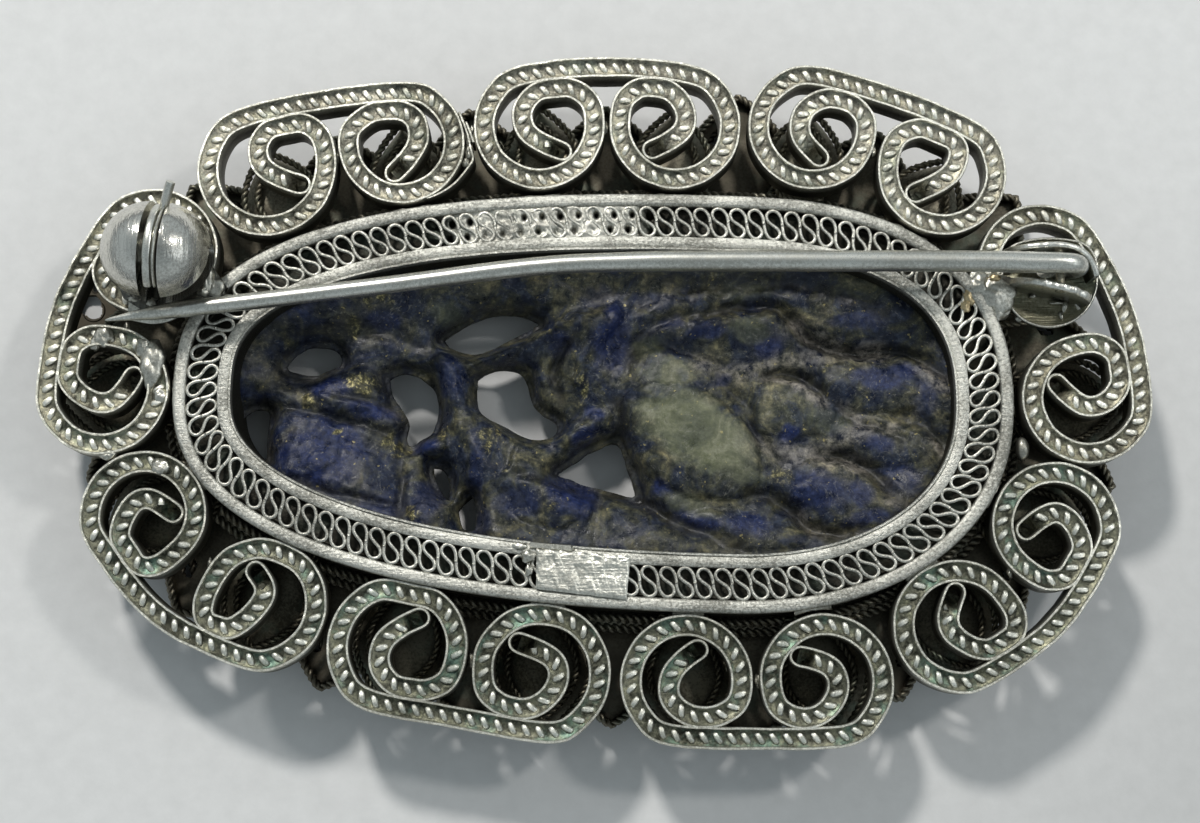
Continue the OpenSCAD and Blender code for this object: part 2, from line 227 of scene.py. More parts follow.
def lump(b, centre, radii, seed, rough=0.18, rings=14, segs=22, flat=None):
    """A frozen drop of solder: a lumpy rounded mound."""
    v, f = [], []
    for i in range(rings + 1):
        th = math.pi * i / rings
        for j in range(segs):
            ph = 2 * math.pi * j / segs
            d = V(math.sin(th) * math.cos(ph), math.sin(th) * math.sin(ph), math.cos(th))
            k = 1 + rough * fbm(d[0] * 1.7 + seed, d[1] * 1.7, d[2] * 1.7 + seed, 3)
            q = V(*centre) + k * d * V(*radii)
            if flat is not None:
                q[2] = max(q[2], flat)
            v.append(q)
    f = ring_faces(rings + 1, segs, False, True)
    b.add(v, f)


# ---------------------------------------------------------------- materials
def node_mat(name):
    m = bpy.data.materials.new(name)
    m.use_nodes = True
    nt = m.node_tree
    bsdf = nt.nodes["Principled BSDF"]
    return m, nt, bsdf


def n_new(nt, kind, **kw):
    n = nt.nodes.new(kind)
    for k, v in kw.items():
        setattr(n, k, v)
    return n


def ramp(nt, fac, stops):
    r = nt.nodes.new("ShaderNodeValToRGB")
    e = r.color_ramp.elements
    e[0].position, e[0].color = stops[0][0], (*stops[0][1], 1)
    e[1].position, e[1].color = stops[-1][0], (*stops[-1][1], 1)
    for p, c in stops[1:-1]:
        x = e.new(p)
        x.color = (*c, 1)
    nt.links.new(fac, r.inputs["Fac"])
    return r


def math_node(nt, op, a, b=None, clamp=False):
    n = nt.nodes.new("ShaderNodeMath")
    n.operation = op
    n.use_clamp = clamp
    for i, x in enumerate((a, b)):
        if x is None:
            continue
        if isinstance(x, (int, float)):
            n.inputs[i].default_value = x
        else:
            nt.links.new(x, n.inputs[i])
    return n.outputs[0]


def tex(nt, kind, coord, scale, detail=4.0, rough=0.55, distortion=0.0):
    n = nt.nodes.new(kind)
    nt.links.new(coord, n.inputs["Vector"])
    n.inputs["Scale"].default_value = scale
    if kind == "ShaderNodeTexNoise":
        n.inputs["Detail"].default_value = detail
        n.inputs["Roughness"].default_value = rough
        n.inputs["Distortion"].default_value = distortion
    return n


def mix_col(nt, fac, a, b, blend="MIX"):
    n = nt.nodes.new("ShaderNodeMix")
    n.data_type = "RGBA"
    n.blend_type = blend
    if isinstance(fac, (int, float)):
        n.inputs[0].default_value = fac
    else:
        nt.links.new(fac, n.inputs[0])
    for i, x in ((6, a), (7, b)):
        if isinstance(x, tuple):
            n.inputs[i].default_value = (*x, 1)
        else:
            nt.links.new(x, n.inputs[i])
    return n.outputs[2]


def silver(name, bright, mid, dark, z_dark=None, z_bright=None, rough=(0.28, 0.5), green=0.0,
           scratch=0.0, bump=0.25, grain=900.0, metallic=1.0, patchy=0.0, lay=(0.06, 1.0, 1.0)):
    """Worn silver. It darkens from z_bright down to z_dark (mm), as oxide stays in the recesses."""
    m, nt, bs = node_mat(name)
    tc = nt.nodes.new("ShaderNodeTexCoord")
    ob = tc.outputs["Object"]
    big = tex(nt, "ShaderNodeTexNoise", ob, 260.0, 4.0, 0.6)
    fine = tex(nt, "ShaderNodeTexNoise", ob, 7500.0, 3.0, 0.7)
    mix1 = math_node(nt, "ADD", math_node(nt, "MULTIPLY", big.outputs["Fac"], 0.45),
                     math_node(nt, "MULTIPLY", fine.outputs["Fac"], 0.55))
    col = ramp(nt, mix1, [(0.41, mid), (0.56, bright)]).outputs["Color"]
    if z_dark is not None:
        sep = nt.nodes.new("ShaderNodeSeparateXYZ")
        nt.links.new(ob, sep.inputs[0])
        mr = nt.nodes.new("ShaderNodeMapRange")
        mr.clamp = True
        nt.links.new(sep.outputs["Z"], mr.inputs["Value"])
        mr.inputs["From Min"].default_value = z_dark * MM
        mr.inputs["From Max"].default_value = z_bright * MM
        mr.inputs["To Min"].default_value = 1.0
        mr.inputs["To Max"].default_value = 0.0
        k = math_node(nt, "MULTIPLY", mr.outputs[0],
                      math_node(nt, "ADD", 0.75, math_node(nt, "MULTIPLY", big.outputs["Fac"], 0.5)), True)
        col = mix_col(nt, k, col, dark)
    if green:
        spots = tex(nt, "ShaderNodeTexNoise", ob, 420.0, 5.0, 0.65)
        g = ramp(nt, spots.outputs["Fac"], [(0.52, (0, 0, 0)), (0.66, (1, 1, 1))])
        col = mix_col(nt, math_node(nt, "MULTIPLY", g.outputs["Color"], green), col, (0.16, 0.27, 0.22))
    if patchy:
        spot = tex(nt, "ShaderNodeTexNoise", ob, 1500.0, 5.0, 0.7)
        pk = ramp(nt, spot.outputs["Fac"], [(0.38, (1 - patchy, 1 - patchy, 1 - patchy)), (0.50, (0.9, 0.9, 0.9)), (0.66, (1.5, 1.48, 1.36))])
        col = mix_col(nt, 1.0, col, pk.outputs["Color"], "MULTIPLY")
    nt.links.new(col, bs.inputs["Base Color"])
    bs.inputs["Metallic"].default_value = metallic
    rr = nt.nodes.new("ShaderNodeMapRange")
    nt.links.new(mix1, rr.inputs["Value"])
    rr.inputs["From Min"].default_value = 0.3
    rr.inputs["From Max"].default_value = 0.7
    rr.inputs["To Min"].default_value = rough[1]
    rr.inputs["To Max"].default_value = rough[0]
    nt.links.new(rr.outputs[0], bs.inputs["Roughness"])
    bn = nt.nodes.new("ShaderNodeBump")
    bn.inputs["Strength"].default_value = bump
    bn.inputs["Distance"].default_value = 0.00003
    gr = tex(nt, "ShaderNodeTexNoise", ob, grain * 2, 5.0, 0.6)
    h = gr.outputs["Fac"]
    if scratch:
        mp = nt.nodes.new("ShaderNodeMapping")
        mp.inputs["Scale"].default_value = lay
        mp.inputs["Rotation"].default_value = (0, 0, 0.35 if lay[0] < 1 else 0.09)
        nt.links.new(ob, mp.inputs["Vector"])
        sc = tex(nt, "ShaderNodeTexNoise", mp.outputs[0], 9000.0, 2.0, 0.5)
        h = math_node(nt, "ADD", h, math_node(nt, "MULTIPLY", sc.outputs["Fac"], scratch))
    nt.links.new(h, bn.inputs["Height"])
    nt.links.new(bn.outputs[0], bs.inputs["Normal"])
    return m


BRIGHT, MID, DARK = (0.76, 0.755, 0.675), (0.38, 0.375, 0.322), (0.050, 0.048, 0.038)
mat_wall = silver("silver_wire", BRIGHT, MID, (0.115, 0.110, 0.087), 4.45, 5.22, (0.34, 0.60), bump=0.9, grain=3000.0)
mat_rope_dull = silver("silver_twist_dull", (0.74, 0.745, 0.68), (0.42, 0.425, 0.375), (0.07, 0.070, 0.055), 4.99, 5.11, (0.38, 0.62), green=0.3, bump=0.8, grain=2400.0)
mat_rope = silver("silver_twist", (0.94, 0.93, 0.85), (0.56, 0.55, 0.48), (0.085, 0.082, 0.062), 4.99, 5.11, (0.36, 0.60), green=0.12, bump=0.8, grain=2400.0)
mat_web = silver("silver_web", (0.31, 0.298, 0.228), (0.135, 0.128, 0.096), (0.028, 0.026, 0.019), 2.9, 4.9, (0.38, 0.62), green=0.30, bump=1.0, grain=1800.0, patchy=0.75)
mat_web_pale = silver("silver_web_pale", (0.36, 0.345, 0.285), (0.135, 0.127, 0.098), (0.040, 0.036, 0.026), 2.9, 4.9, (0.36, 0.62), green=0.22, bump=1.2, grain=1800.0, patchy=0.62)
mat_rope_pale = silver("silver_twist_pale", (0.86, 0.845, 0.755), (0.44, 0.43, 0.365), (0.13, 0.122, 0.092), 4.97, 5.11, (0.38, 0.62), green=0.2, bump=1.0, grain=2400.0)
mat_web_green = silver("silver_web_green", (0.185, 0.185, 0.140), (0.075, 0.078, 0.058), (0.028, 0.028, 0.021), 2.9, 4.9, (0.38, 0.62), green=0.75, bump=1.0, grain=1800.0, patchy=0.70)
mat_rim = silver("silver_rim", (0.60, 0.595, 0.54), (0.25, 0.247, 0.218), DARK, 5.05, 5.45, (0.38, 0.64), scratch=0.4, bump=1.5, grain=4200.0)
mat_fill = silver("silver_fill", (0.65, 0.642, 0.578), (0.29, 0.284, 0.250), (0.12, 0.115, 0.094), 5.15, 5.42, (0.34, 0.56), bump=0.8, grain=3000.0)
mat_floor = silver("silver_floor", (0.52, 0.512, 0.458), (0.25, 0.244, 0.214), (0.026, 0.025, 0.020), 5.05, 5.34, (0.34, 0.60), green=0.1, bump=1.2, grain=2600.0)
mat_front = silver("silver_front", (0.40, 0.372, 0.288), (0.190, 0.173, 0.130), (0.066, 0.058, 0.044), 0.5, 3.6, (0.38, 0.62), green=0.2)
# painted shade: a darker copy of silver_front, standing in for the shade on the leaves under the lower curls
mat_leaf_painted_shade = silver("silver_leaf_painted_shade", (0.150, 0.140, 0.106), (0.064, 0.059, 0.044), (0.024, 0.022, 0.016), 0.5, 3.4, (0.40, 0.64), green=0.2)
mat_collar = silver("silver_collar", (0.26, 0.245, 0.195), (0.110, 0.102, 0.078), (0.040, 0.036, 0.028), 0.0, 2.6, (0.38, 0.62), green=0.16)
mat_pin = silver("silver_pin", (0.76, 0.76, 0.705), (0.48, 0.48, 0.435), DARK, None, None, (0.22, 0.42), bump=0.3, scratch=0.3)
mat_ear = silver("silver_ear", (0.86, 0.855, 0.79), (0.54, 0.535, 0.48), (0.11, 0.106, 0.084), 5.7, 6.9, (0.22, 0.44), bump=0.6)
mat_ball = silver("silver_ball", (0.72, 0.705, 0.65), (0.45, 0.438, 0.395), (0.08, 0.08, 0.070), 5.7, 7.9, (0.13, 0.30), bump=0.45, scratch=1.8, lay=(1.0, 0.05, 0.6))
mat_plate = silver("silver_plate", (0.74, 0.73, 0.655), (0.43, 0.422, 0.372), (0.12, 0.115, 0.09), 5.50, 5.66, (0.30, 0.54), scratch=0.8, bump=1.0, grain=2400.0)
mat_solder = silver("silver_solder", (0.64, 0.63, 0.565), (0.34, 0.335, 0.29), (0.09, 0.085, 0.068), 4.5, 5.25, (0.26, 0.52), bump=0.8, grain=1800.0)
mat_dish = silver("silver_dish", (0.44, 0.42, 0.305), (0.25, 0.236, 0.162), (0.05, 0.048, 0.034), None, None, (0.28, 0.48), green=0.3, scratch=0.8, bump=0.8)
mat_stain = silver("silver_stained", (0.62, 0.50, 0.30), (0.46, 0.38, 0.24), (0.10, 0.09, 0.06), 4.6, 5.3, (0.26, 0.5), bump=0.8, grain=900.0)


# ---------------------------------------------------------------- the oval band
BL, BR, BH = 28.2, 14.15, 10.65
OM, OT = V(7.0, -0.25), -1.7
CORNERS = [2.6, 2.5, 2.43, 2.15]


def oval_raw(t):
    c, s = cd(t), sd(t)
    a = BL if c < 0 else BR
    k = CORNERS[(0 if c < 0 else 2) + (1 if s < 0 else 0)]
    x = a * math.copysign(abs(c) ** (2 / k), c)
    y = BH * math.copysign(abs(s) ** (2 / k), s)
    return OM + V(x * cd(OT) - y * sd(OT), x * sd(OT) + y * cd(OT))


BASE = resample(np.array([oval_raw(t) for t in np.arange(0.05, 360, 0.15)]), 0.06, True)
for _ in range(25):
    BASE = (np.roll(BASE, 1, 0) + 2 * BASE + np.roll(BASE, -1, 0)) / 4
BASE_N = -normals_2d(BASE, True)            # outwards
if np.mean(np.sum(BASE_N * (BASE - BASE.mean(0)), 1)) < 0:
    BASE_N = -BASE_N


def oval(out, step=0.12):
    return resample(BASE + out * BASE_N, step, True)


def band_wobble(p, amp, seed):
    return np.array([amp * nz(q[0] * 0.5 + seed, q[1] * 0.5, seed) for q in p])


def rim_profile(w, z0, z1, r):
    """Flat wire on edge with worn corners, as (sideways, z)."""
    return [(-w / 2, z0), (w / 2, z0), (w / 2, z1 - 1.6 * r), (w / 2 - 0.25 * r, z1 - 0.6 * r), (w / 2 - r, z1 - 0.1 * r),
            (w / 2 - 2.2 * r, z1), (-w / 2 + 2.2 * r, z1), (-w / 2 + r, z1 - 0.1 * r), (-w / 2 + 0.25 * r, z1 - 0.6 * r),
            (-w / 2, z1 - 1.6 * r)]


b = Build()
p = oval(-0.33, 0.14)
sweep(b, p, [(-0.33, 2.6), (0.33, 2.6), (0.33, 5.38), (0.31, 5.47), (0.25, 5.53), (0.12, 5.56), (-0.12, 5.565), (-0.25, 5.54), (-0.31, 5.48), (-0.33, 5.38)],
      True, band_wobble(p, 0.05, 1.0))
rim_outer = b.object("band_outer_rim", mat_rim, replaces=("bezel",))
b = Build()
p = oval(-2.53, 0.14)
sweep(b, p, [(-0.30, 4.3), (0.30, 4.3), (0.30, 5.40), (0.27, 5.49), (0.17, 5.535), (-0.18, 5.54), (-0.27, 5.50), (-0.30, 5.40)], True, band_wobble(p, 0.05, 5.0))
p = oval(-2.88, 0.14)
sweep(b, p, [(-0.08, 1.2), (0.08, 1.2), (0.08, 5.50), (0.045, 5.58), (-0.045, 5.58), (-0.08, 5.50)], True, band_wobble(p, 0.06, 9.0))
rim_inner = b.object("band_inner_rim", mat_rim)

# floor of the band, with the solder flood along part of the top
mid = BASE - 1.455 * BASE_N
band_len = length_along(mid, True)[-1]
UNITS = int(round(band_len / 0.918))
PITCH = band_len / UNITS
ds = length_along(mid, True)
idx0 = int(np.argmin(np.hypot(mid[:, 0] - 6.0, mid[:, 1] + 8.6)))


def frame_at(s):
    """Place, outward normal and direction along the band at arc length s of its middle line."""
    s = (s + ds[idx0]) % band_len
    q = np.vstack([mid, mid[:1]])
    nn = np.vstack([BASE_N, BASE_N[:1]])
    c = V(np.interp(s, ds, q[:, 0]), np.interp(s, ds, q[:, 1]))
    n = unit(V(np.interp(s, ds, nn[:, 0]), np.interp(s, ds, nn[:, 1])))
    return c, n, left(n)


def flood(c):
    """How deep solder fills the band here, 0 to 1."""
    top = smooth_step(c[0], -9.6, -5.4) * (1 - smooth_step(c[0], 1.6, 4.2)) * (c[1] > 2)
    side = math.exp(-((c[0] + 18.6) ** 2 + (c[1] - 5.6) ** 2) / 0.9)
    return float(np.clip(top * (1.05 + 0.4 * nz(c[0] * 0.9, c[1] * 0.9, 3.0)) + side, 0, 1))


b = Build()
per, across = 16, 27
rows = []
for i in range(UNITS * per):
    s = i * PITCH / per
    c, n, t = frame_at(s)
    fl = flood(c)
    u = ((i % per) / per - 0.5) * PITCH
    row = []
    for j in range(across):
        v = -0.86 + 1.72 * j / (across - 1)
        z = 4.72 + 0.06 * nz(c[0] * 1.5 + v, c[1] * 1.5, 2.0)
        z += 0.45 * smooth_step(abs(v), 0.66, 0.86)
        if fl > 0.02:
            pw = 0.15 - 0.05 * fl + 0.04 * nz(i // per * 1.7, 2.0, 1.0 + (v > 0))
            pit = math.exp(-(((u + 0.14) / pw) ** 2 + ((v - 0.38) / (pw * 1.4)) ** 2)) + math.exp(-(((u - 0.10) / pw) ** 2 + ((v + 0.40) / (pw * 1.4)) ** 2))
            keep_ = float(smooth_step(nz(i // per * 2.9, 7.0 + 3.0 * (v > 0), 4.0), -0.22, 0.12))
            z += fl * (0.72 - 0.60 * keep_ * min(1, pit) - 0.45 * smooth_step(abs(v), 0.66, 0.86)) + fl * 0.07 * nz(c[0] * 3, c[1] * 3 + v * 3, 8.0)
        q = c + n * v
        row.append((q[0], q[1], z))
    rows.append(row)
b.add(np.array(rows).reshape(-1, 3), ring_faces(len(rows), across, True, False))
band_floor = b.object("band_floor", mat_floor, sharp=None)

# the row of S-shaped wires
S_SHAPE = [(0.47, 0.02), (0.44, 0.22), (0.35, 0.46), (0.16, 0.68), (-0.08, 0.75), (-0.31, 0.63), (-0.38, 0.43),
           (-0.29, 0.20), (-0.10, 0.04), (0.10, -0.08), (0.30, -0.25), (0.38, -0.46), (0.27, -0.67), (0.04, -0.75),
           (-0.20, -0.64), (-0.37, -0.40), (-0.45, -0.14), (-0.47, 0.02)]


def catmull(p, k):
    p = [np.asarray(q, float) for q in p]
    n = len(p) - 1
    out = []
    for i in range(n):
        a, bb, c, d = p[max(i - 1, 0)], p[i], p[min(i + 1, n)], p[min(i + 2, n)]
        for j in range(k):
            t = j / k
            out.append(0.5 * (2 * bb + (c - a) * t + (2 * a - 5 * bb + 4 * c - d) * t * t + (3 * bb - a - 3 * c + d) * t ** 3))
    out.append(p[-1])
    return np.array(out)


b = Build()
s_line = catmull([V(*q) for q in S_SHAPE], 2)
for i in range(UNITS):
    s0 = (i + 0.5) * PITCH
    ka = 1 + 0.10 * nz(i * 1.7, 0.3, 4.0)
    kb = 1 + 0.07 * nz(i * 2.3, 5.3, 4.0)
    lean = 0.10 * nz(i * 1.1, 9.1, 4.0)
    pts = []
    for q in s_line:
        u = (q[0] * ka + lean * q[1]) * PITCH / 0.94
        v = q[1] * kb
        c, n, t = frame_at(s0 - u)
        w = c + n * v
        pts.append((w[0], w[1], 5.40 + 0.03 * nz(i * 0.9, u * 2, 6.0)))
    tube(b, pts, 0.094, 7, False, flat_top=5.46)
band_wire = b.object("band_wire", mat_fill, sharp=None)


# ---------------------------------------------------------------- the scrolls
CURLS = [
    [-16.8, 11.9, 3.60, -17.3, 12.9, -14.9, 11.0], [-9.9, 13.3, 3.29, -9.1, 14.3, -10.3, 11.6],
    [-2.8, 14.2, 3.42, -3.7, 14.8, -1.3, 12.7], [4.2, 14.2, 3.42, 4.8, 14.7, 3.0, 12.9],
    [11.3, 14.1, 3.36, 10.7, 14.6, 12.2, 12.0], [17.9, 11.7, 3.34, 18.8, 12.7, 16.5, 10.6],
    [22.9, 6.7, 3.34, 22.5, 7.8, 23.9, 5.6], [24.9, -0.1, 3.33, 25.6, -0.4, 23.2, 0.9],
    [23.1, -6.5, 3.24, 23.7, -6.1, 21.2, -7.1], [18.1, -11.5, 3.31, 17.9, -12.0, 18.1, -9.6],
    [11.5, -14.2, 3.36, 12.1, -14.3, 9.7, -12.9], [4.6, -14.2, 3.32, 3.7, -14.7, 5.6, -12.4],
    [-2.6, -13.8, 3.50, -1.7, -14.0, -3.7, -12.3], [-9.7, -12.5, 3.53, -10.6, -13.0, -8.6, -11.1],
    [-16.5, -10.4, 3.32, -16.4, -10.2, -17.3, -8.3], [-22.5, -5.9, 3.20, -23.0, -5.4, -20.6, -6.2],
    [-24.8, 0.4, 3.38, -25.0, -0.3, -23.1, 1.3], [-22.5, 7.5, 3.36, -22.5, 8.5, -21.4, 6.4],
]
BOW = [0.15, 0.3, 0.15, 0.5, 0.7, 0.0, -0.1, 0.8, 0.6]
REACH = [2.5, 2.9, 3.1, 3.2, 2.5, 2.5, 3.3, 2.9, 2.95]
W, P = 1.1, 0.99
OUTER = [18, 52, 86, 120, 154, 188, 222, 256]
INNER = [32, 62, 92, 122, 152, 180]
K = 6
TURN_N = len(OUTER) + len(INNER) + 3


def out_of(p, q):
    s = left(unit(q - p))
    return s if s @ (p + q) >= 0 else -s


def curl_points(c, toward, n, bow):
    o, r = V(c[0], c[1]), c[2] - W / 2
    side, far, tip = o + r * toward, V(c[3], c[4]), V(c[5], c[6])
    mid_, a, d = (side + far) / 2, np.linalg.norm(side - far) / 2, unit(side - far)
    s = left(d)
    p_ = s if s @ n >= 0 else -s
    bb = (r - P + 0.8 * max(0, bow) - (mid_ - o) @ n) / max(0.5, p_ @ n)
    l = np.linalg.norm(tip - far)
    q1 = far - 0.42 * l * p_
    q2 = tip - 0.32 * (tip - far) - 0.10 * l * p_
    pts = [o + r * (cd(t) * n - sd(t) * toward) for t in OUTER]
    pts += [mid_ + a * cd(t) * d + bb * sd(t) * p_ for t in INNER]
    pts += [(1 - t) ** 3 * far + 3 * t * (1 - t) ** 2 * q1 + 3 * t * t * (1 - t) * q2 + t ** 3 * tip for t in (.3, .62, 1)]
    return pts


def scroll_points(i):
    p_, q_ = CURLS[2 * i], CURLS[2 * i + 1]
    a, c = V(p_[0], p_[1]), V(q_[0], q_[1])
    e, n = unit(c - a), out_of(a, c)
    top = (a + c) / 2 + n * ((p_[2] + q_[2] - W) / 2 + BOW[i])
    return curl_points(p_, e, n, BOW[i])[::-1] + [top] + curl_points(q_, -e, n, BOW[i])


CLEAR = BASE + (W / 2 + 0.02) * BASE_N


def pushed(p_):
    i = int(np.argmin(((CLEAR - p_) ** 2).sum(1)))
    k = (p_ - CLEAR[i]) @ BASE_N[i]
    return p_ - k * BASE_N[i] if k < 0 and np.hypot(*(p_ - CLEAR[i])) < 2.5 else p_


def foot_on(p_, path):
    a, ab = path[:-1], path[1:] - path[:-1]
    t = (((p_ - a) * ab).sum(1) / np.maximum(1e-12, (ab ** 2).sum(1))).clip(0, 1)
    f = a + t[:, None] * ab
    d = np.hypot(*(f - p_).T)
    return f[int(np.argmin(d))], float(d.min())


def strip_line(i):
    line = np.array([pushed(q) for q in catmull(scroll_points(i), K)])
    m = len(line) - 1
    inn = (TURN_N - len(OUTER)) * K
    bridge, outer_ = line[inn + 5 * K:m - inn - 5 * K + 1], line[inn - 2 * K:m - inn + 2 * K + 1]
    r = []
    for j in range(m + 1):
        k = min(j, m - j)
        q = line[j]
        if k < 3 * K:
            f, d = foot_on(q, outer_)
            if d < W - 0.10:
                continue
        elif k < inn:
            f, d = foot_on(q, bridge)
            if d < P:
                q = f + P * unit(q - f)
        r.append(q)
    r = np.array(r)
    for _ in range(2):
        r[1:-1] = (r[:-2] + 2 * r[1:-1] + r[2:]) / 4
    return resample(r, 0.20)


def edge_of(c, r, side):
    """Points at distance r on one side of the line, drawn in at tight bends."""
    n = normals_2d(c, False)
    d = np.diff(c, axis=0)
    l = np.hypot(d[:, 0], d[:, 1])
    cr = d[:-1, 0] * d[1:, 1] - d[:-1, 1] * d[1:, 0]
    k = np.zeros(len(c))
    k[1:-1] = 2 * cr / (l[:-1] * l[1:] * np.maximum(1e-9, np.hypot(*(d[:-1] + d[1:]).T)))
    k = side * k
    k = np.max([np.roll(k, 1), k, np.roll(k, -1), np.roll(k, 2), np.roll(k, -2)], 0)
    rr = np.where(k * r > 0.85, 0.85 / np.maximum(k, 1e-6), r)
    for _ in range(3):
        rr[1:-1] = (rr[:-2] + 2 * rr[1:-1] + rr[2:]) / 4
    return c + side * rr[:, None] * n


def outline(c, r):
    """Closed outline of a strip with round ends."""
    a, bb = edge_of(c, r, -1), edge_of(c, r, 1)
    d0, d1 = c[0] - c[1], c[-1] - c[-2]
    a0, a1 = math.degrees(math.atan2(d0[1], d0[0])), math.degrees(math.atan2(d1[1], d1[0]))
    arc = lambda q, f: [q + r * V(cd(f + 22.5 * k), sd(f + 22.5 * k)) for k in range(1, 8)]
    return np.array(list(a) + arc(c[-1], a1 - 90) + list(bb[::-1]) + arc(c[0], a0 - 90))


def clean_loop(p_, step):
    q = resample(p_, step, True)
    q = (np.roll(q, 1, 0) + 2 * q + np.roll(q, -1, 0)) / 4
    return q


STRIP_LINES = [strip_line(i) for i in range(9)]
STRIP_LINES[3] = STRIP_LINES[3][66:]       # this strip runs out under the hinge's base plate
T_TOP, T_BOT = 5.3, 3.65
for i in range(9):
    name = "abcdefghi"[i]
    c = STRIP_LINES[i]
    wall = clean_loop(outline(c, W / 2 - 0.075), 0.15)
    wob = 0.03 * np.array([[nz(q[0] * 0.9, q[1] * 0.9, i), nz(q[0] * 0.9, q[1] * 0.9, i + 9.5)] for q in wall])
    b = Build()
    sweep(b, wall + wob, [(-0.075, T_BOT), (0.075, T_BOT), (0.075, T_TOP - 0.09), (0.045, T_TOP - 0.02),
                          (-0.045, T_TOP - 0.02), (-0.075, T_TOP - 0.09)], True,
          [0.05 * nz(q[0] * 0.8, q[1] * 0.8, 20 + i) + 0.02 * nz(q[0] * 4, q[1] * 4, 3 + i) for q in wall])
    b.object("scroll_%s_walls" % name, mat_wall, replaces=("scroll_" + name,))
    b = Build()
    inner = resample(c, 0.1)[3:-3]
    rope(b, inner[5:-5], 4.88, 0.69, 0.168, 0.195, 1, 10, 12, phase=i * 1.3, rise=0.85, worn=5.148)
    rope(b, inner, 4.05, 0.70, 0.12, 0.235, 1, 5, 8, phase=i * 1.7, rise=0.75)
    b.object("scroll_%s_twist" % name, mat_rope_dull if i in (4, 5, 6, 7) else mat_rope_pale if i in (0, 1, 2) else mat_rope, sharp=38)
    b = Build()
    for z, s in ((4.99, 1), (3.98, -1)):
        g = resample(c, 0.3)
        n = normals_2d(g, False)
        rows = []
        along = length_along(g)
        for q, m_, l_ in zip(g, n, along):
            end_ = float(smooth_step(min(l_, along[-1] - l_), 0.25, 1.0))
            fl = (0.10 * max(0.0, nz(q[0] * 0.35, q[1] * 0.35, 60.0)) - 0.9 * (1 - end_)) if s > 0 else 0.0
            rows.append([(q[0] + m_[0] * x, q[1] + m_[1] * x,
                          z + fl + s * (0.12 * (abs(x) / 0.42) ** 3 + 0.05 * nz(q[0] * 2 + x, q[1] * 2, z))) for x in (-0.43, -0.28, -0.1, 0.1, 0.28, 0.43)])
        b.add(np.array(rows).reshape(-1, 3), ring_faces(len(rows), 6, False, False))
    b.object("scroll_%s_web" % name, mat_web_green if i in (4, 5, 6, 7) else mat_web_pale if i in (0, 1, 2) else mat_web, sharp=None)


# an extra length of wire and solder closes the gap between the first two scrolls
CAM_P, CAM_T = V(0.33, -15.96, 101.29), V(0.33, -0.63, 4.5)
CAM_F = 57.92 / 36.0 * 1200


def from_px(x, y, z=3.9):
    """The point at height z (mm) that the camera sees at a place of the 1200 x 823 frame."""
    f = unit(CAM_T - CAM_P)
    r = unit(np.cross(f, V(0, 0, 1)))
    u = np.cross(r, f)
    d = f * CAM_F + r * (x - 600) - u * (y - 411.5)
    return (CAM_P + d * (z - CAM_P[2]) / d[2])[:2]


def px_line(pts, z=3.9):
    return np.array([from_px(x, y, z) for x, y in pts])


b = Build()
for pts_ in ([(459, 112), (464, 124), (468, 136), (470.5, 148), (473, 159), (467, 169), (457, 181), (447, 189), (437, 194.5), (427, 198)], [(466, 122), (470, 132), (473.5, 142)]):
    line_ = resample(catmull(list(px_line(pts_, 5.2)), 4), 0.15)
    sweep(b, line_, [(-0.07, 3.65), (0.07, 3.65), (0.07, 5.16), (0.04, 5.24), (-0.04, 5.24), (-0.07, 5.16)], False,
          [0.04 * nz(q[0] * 2, q[1] * 2, 33.0) for q in line_])
b.object("scroll_join_wire", mat_wall)


# ---------------------------------------------------------------- front layer
def inside(poly, x, y):
    r = np.zeros(x.shape, bool)
    a, c = poly, np.roll(poly, -1, 0)
    for p_, q_ in zip(a, c):
        m_ = ((p_[1] > y) != (q_[1] > y))
        if p_[1] != q_[1]:
            r ^= m_ & (x < (q_[0] - p_[0]) * (y - p_[1]) / (q_[1] - p_[1]) + p_[0])
    return r


def leaf(foot, tip, w, n=16):
    l, d = np.linalg.norm(tip - foot), unit(tip - foot)
    s = left(d)
    h = [(t, (0.42 + 0.58 * sd(150 * t)) * max(0, 1 - t ** 3) ** 0.8) for t in np.linspace(0, 1, n)]
    return np.array([foot + d * l * t - s * w * k for t, k in h] + [foot + d * l * t + s * w * k for t, k in h[-2::-1]])


def at(i):
    return V(CURLS[i % 18][0], CURLS[i % 18][1])


def slit(t, x, t0, rt, x0, rx, both):
    """Cuts an oval opening into a leaf's web: points just inside it move out to its edge."""
    side_ = math.copysign(1.0, x) if both else 1.0
    u, v = (t - t0) / rt, (x * side_ - x0) / rx
    e = math.hypot(u, v)
    if 0.62 < e < 1:
        return t0 + rt * u / e, side_ * (x0 + rx * v / e), False
    return t, x, e <= 0.62


petals = []
for i in range(9):
    a, c = at(2 * i + 1), at(2 * i + 2)
    m_, n = (a + c) / 2, out_of(a, c)
    petals.append((m_ - 3.3 * n, m_ + (REACH[i] - 0.15) * n, 2.85))
    a, c = at(2 * i), at(2 * i + 1)
    m_, n = (a + c) / 2, out_of(a, c)
    petals.append((m_ - 3.3 * n, m_ + (3.1 if i in (5, 6, 7) else 2.0) * n, 3.3 if i in (5, 6, 7) else 2.85))

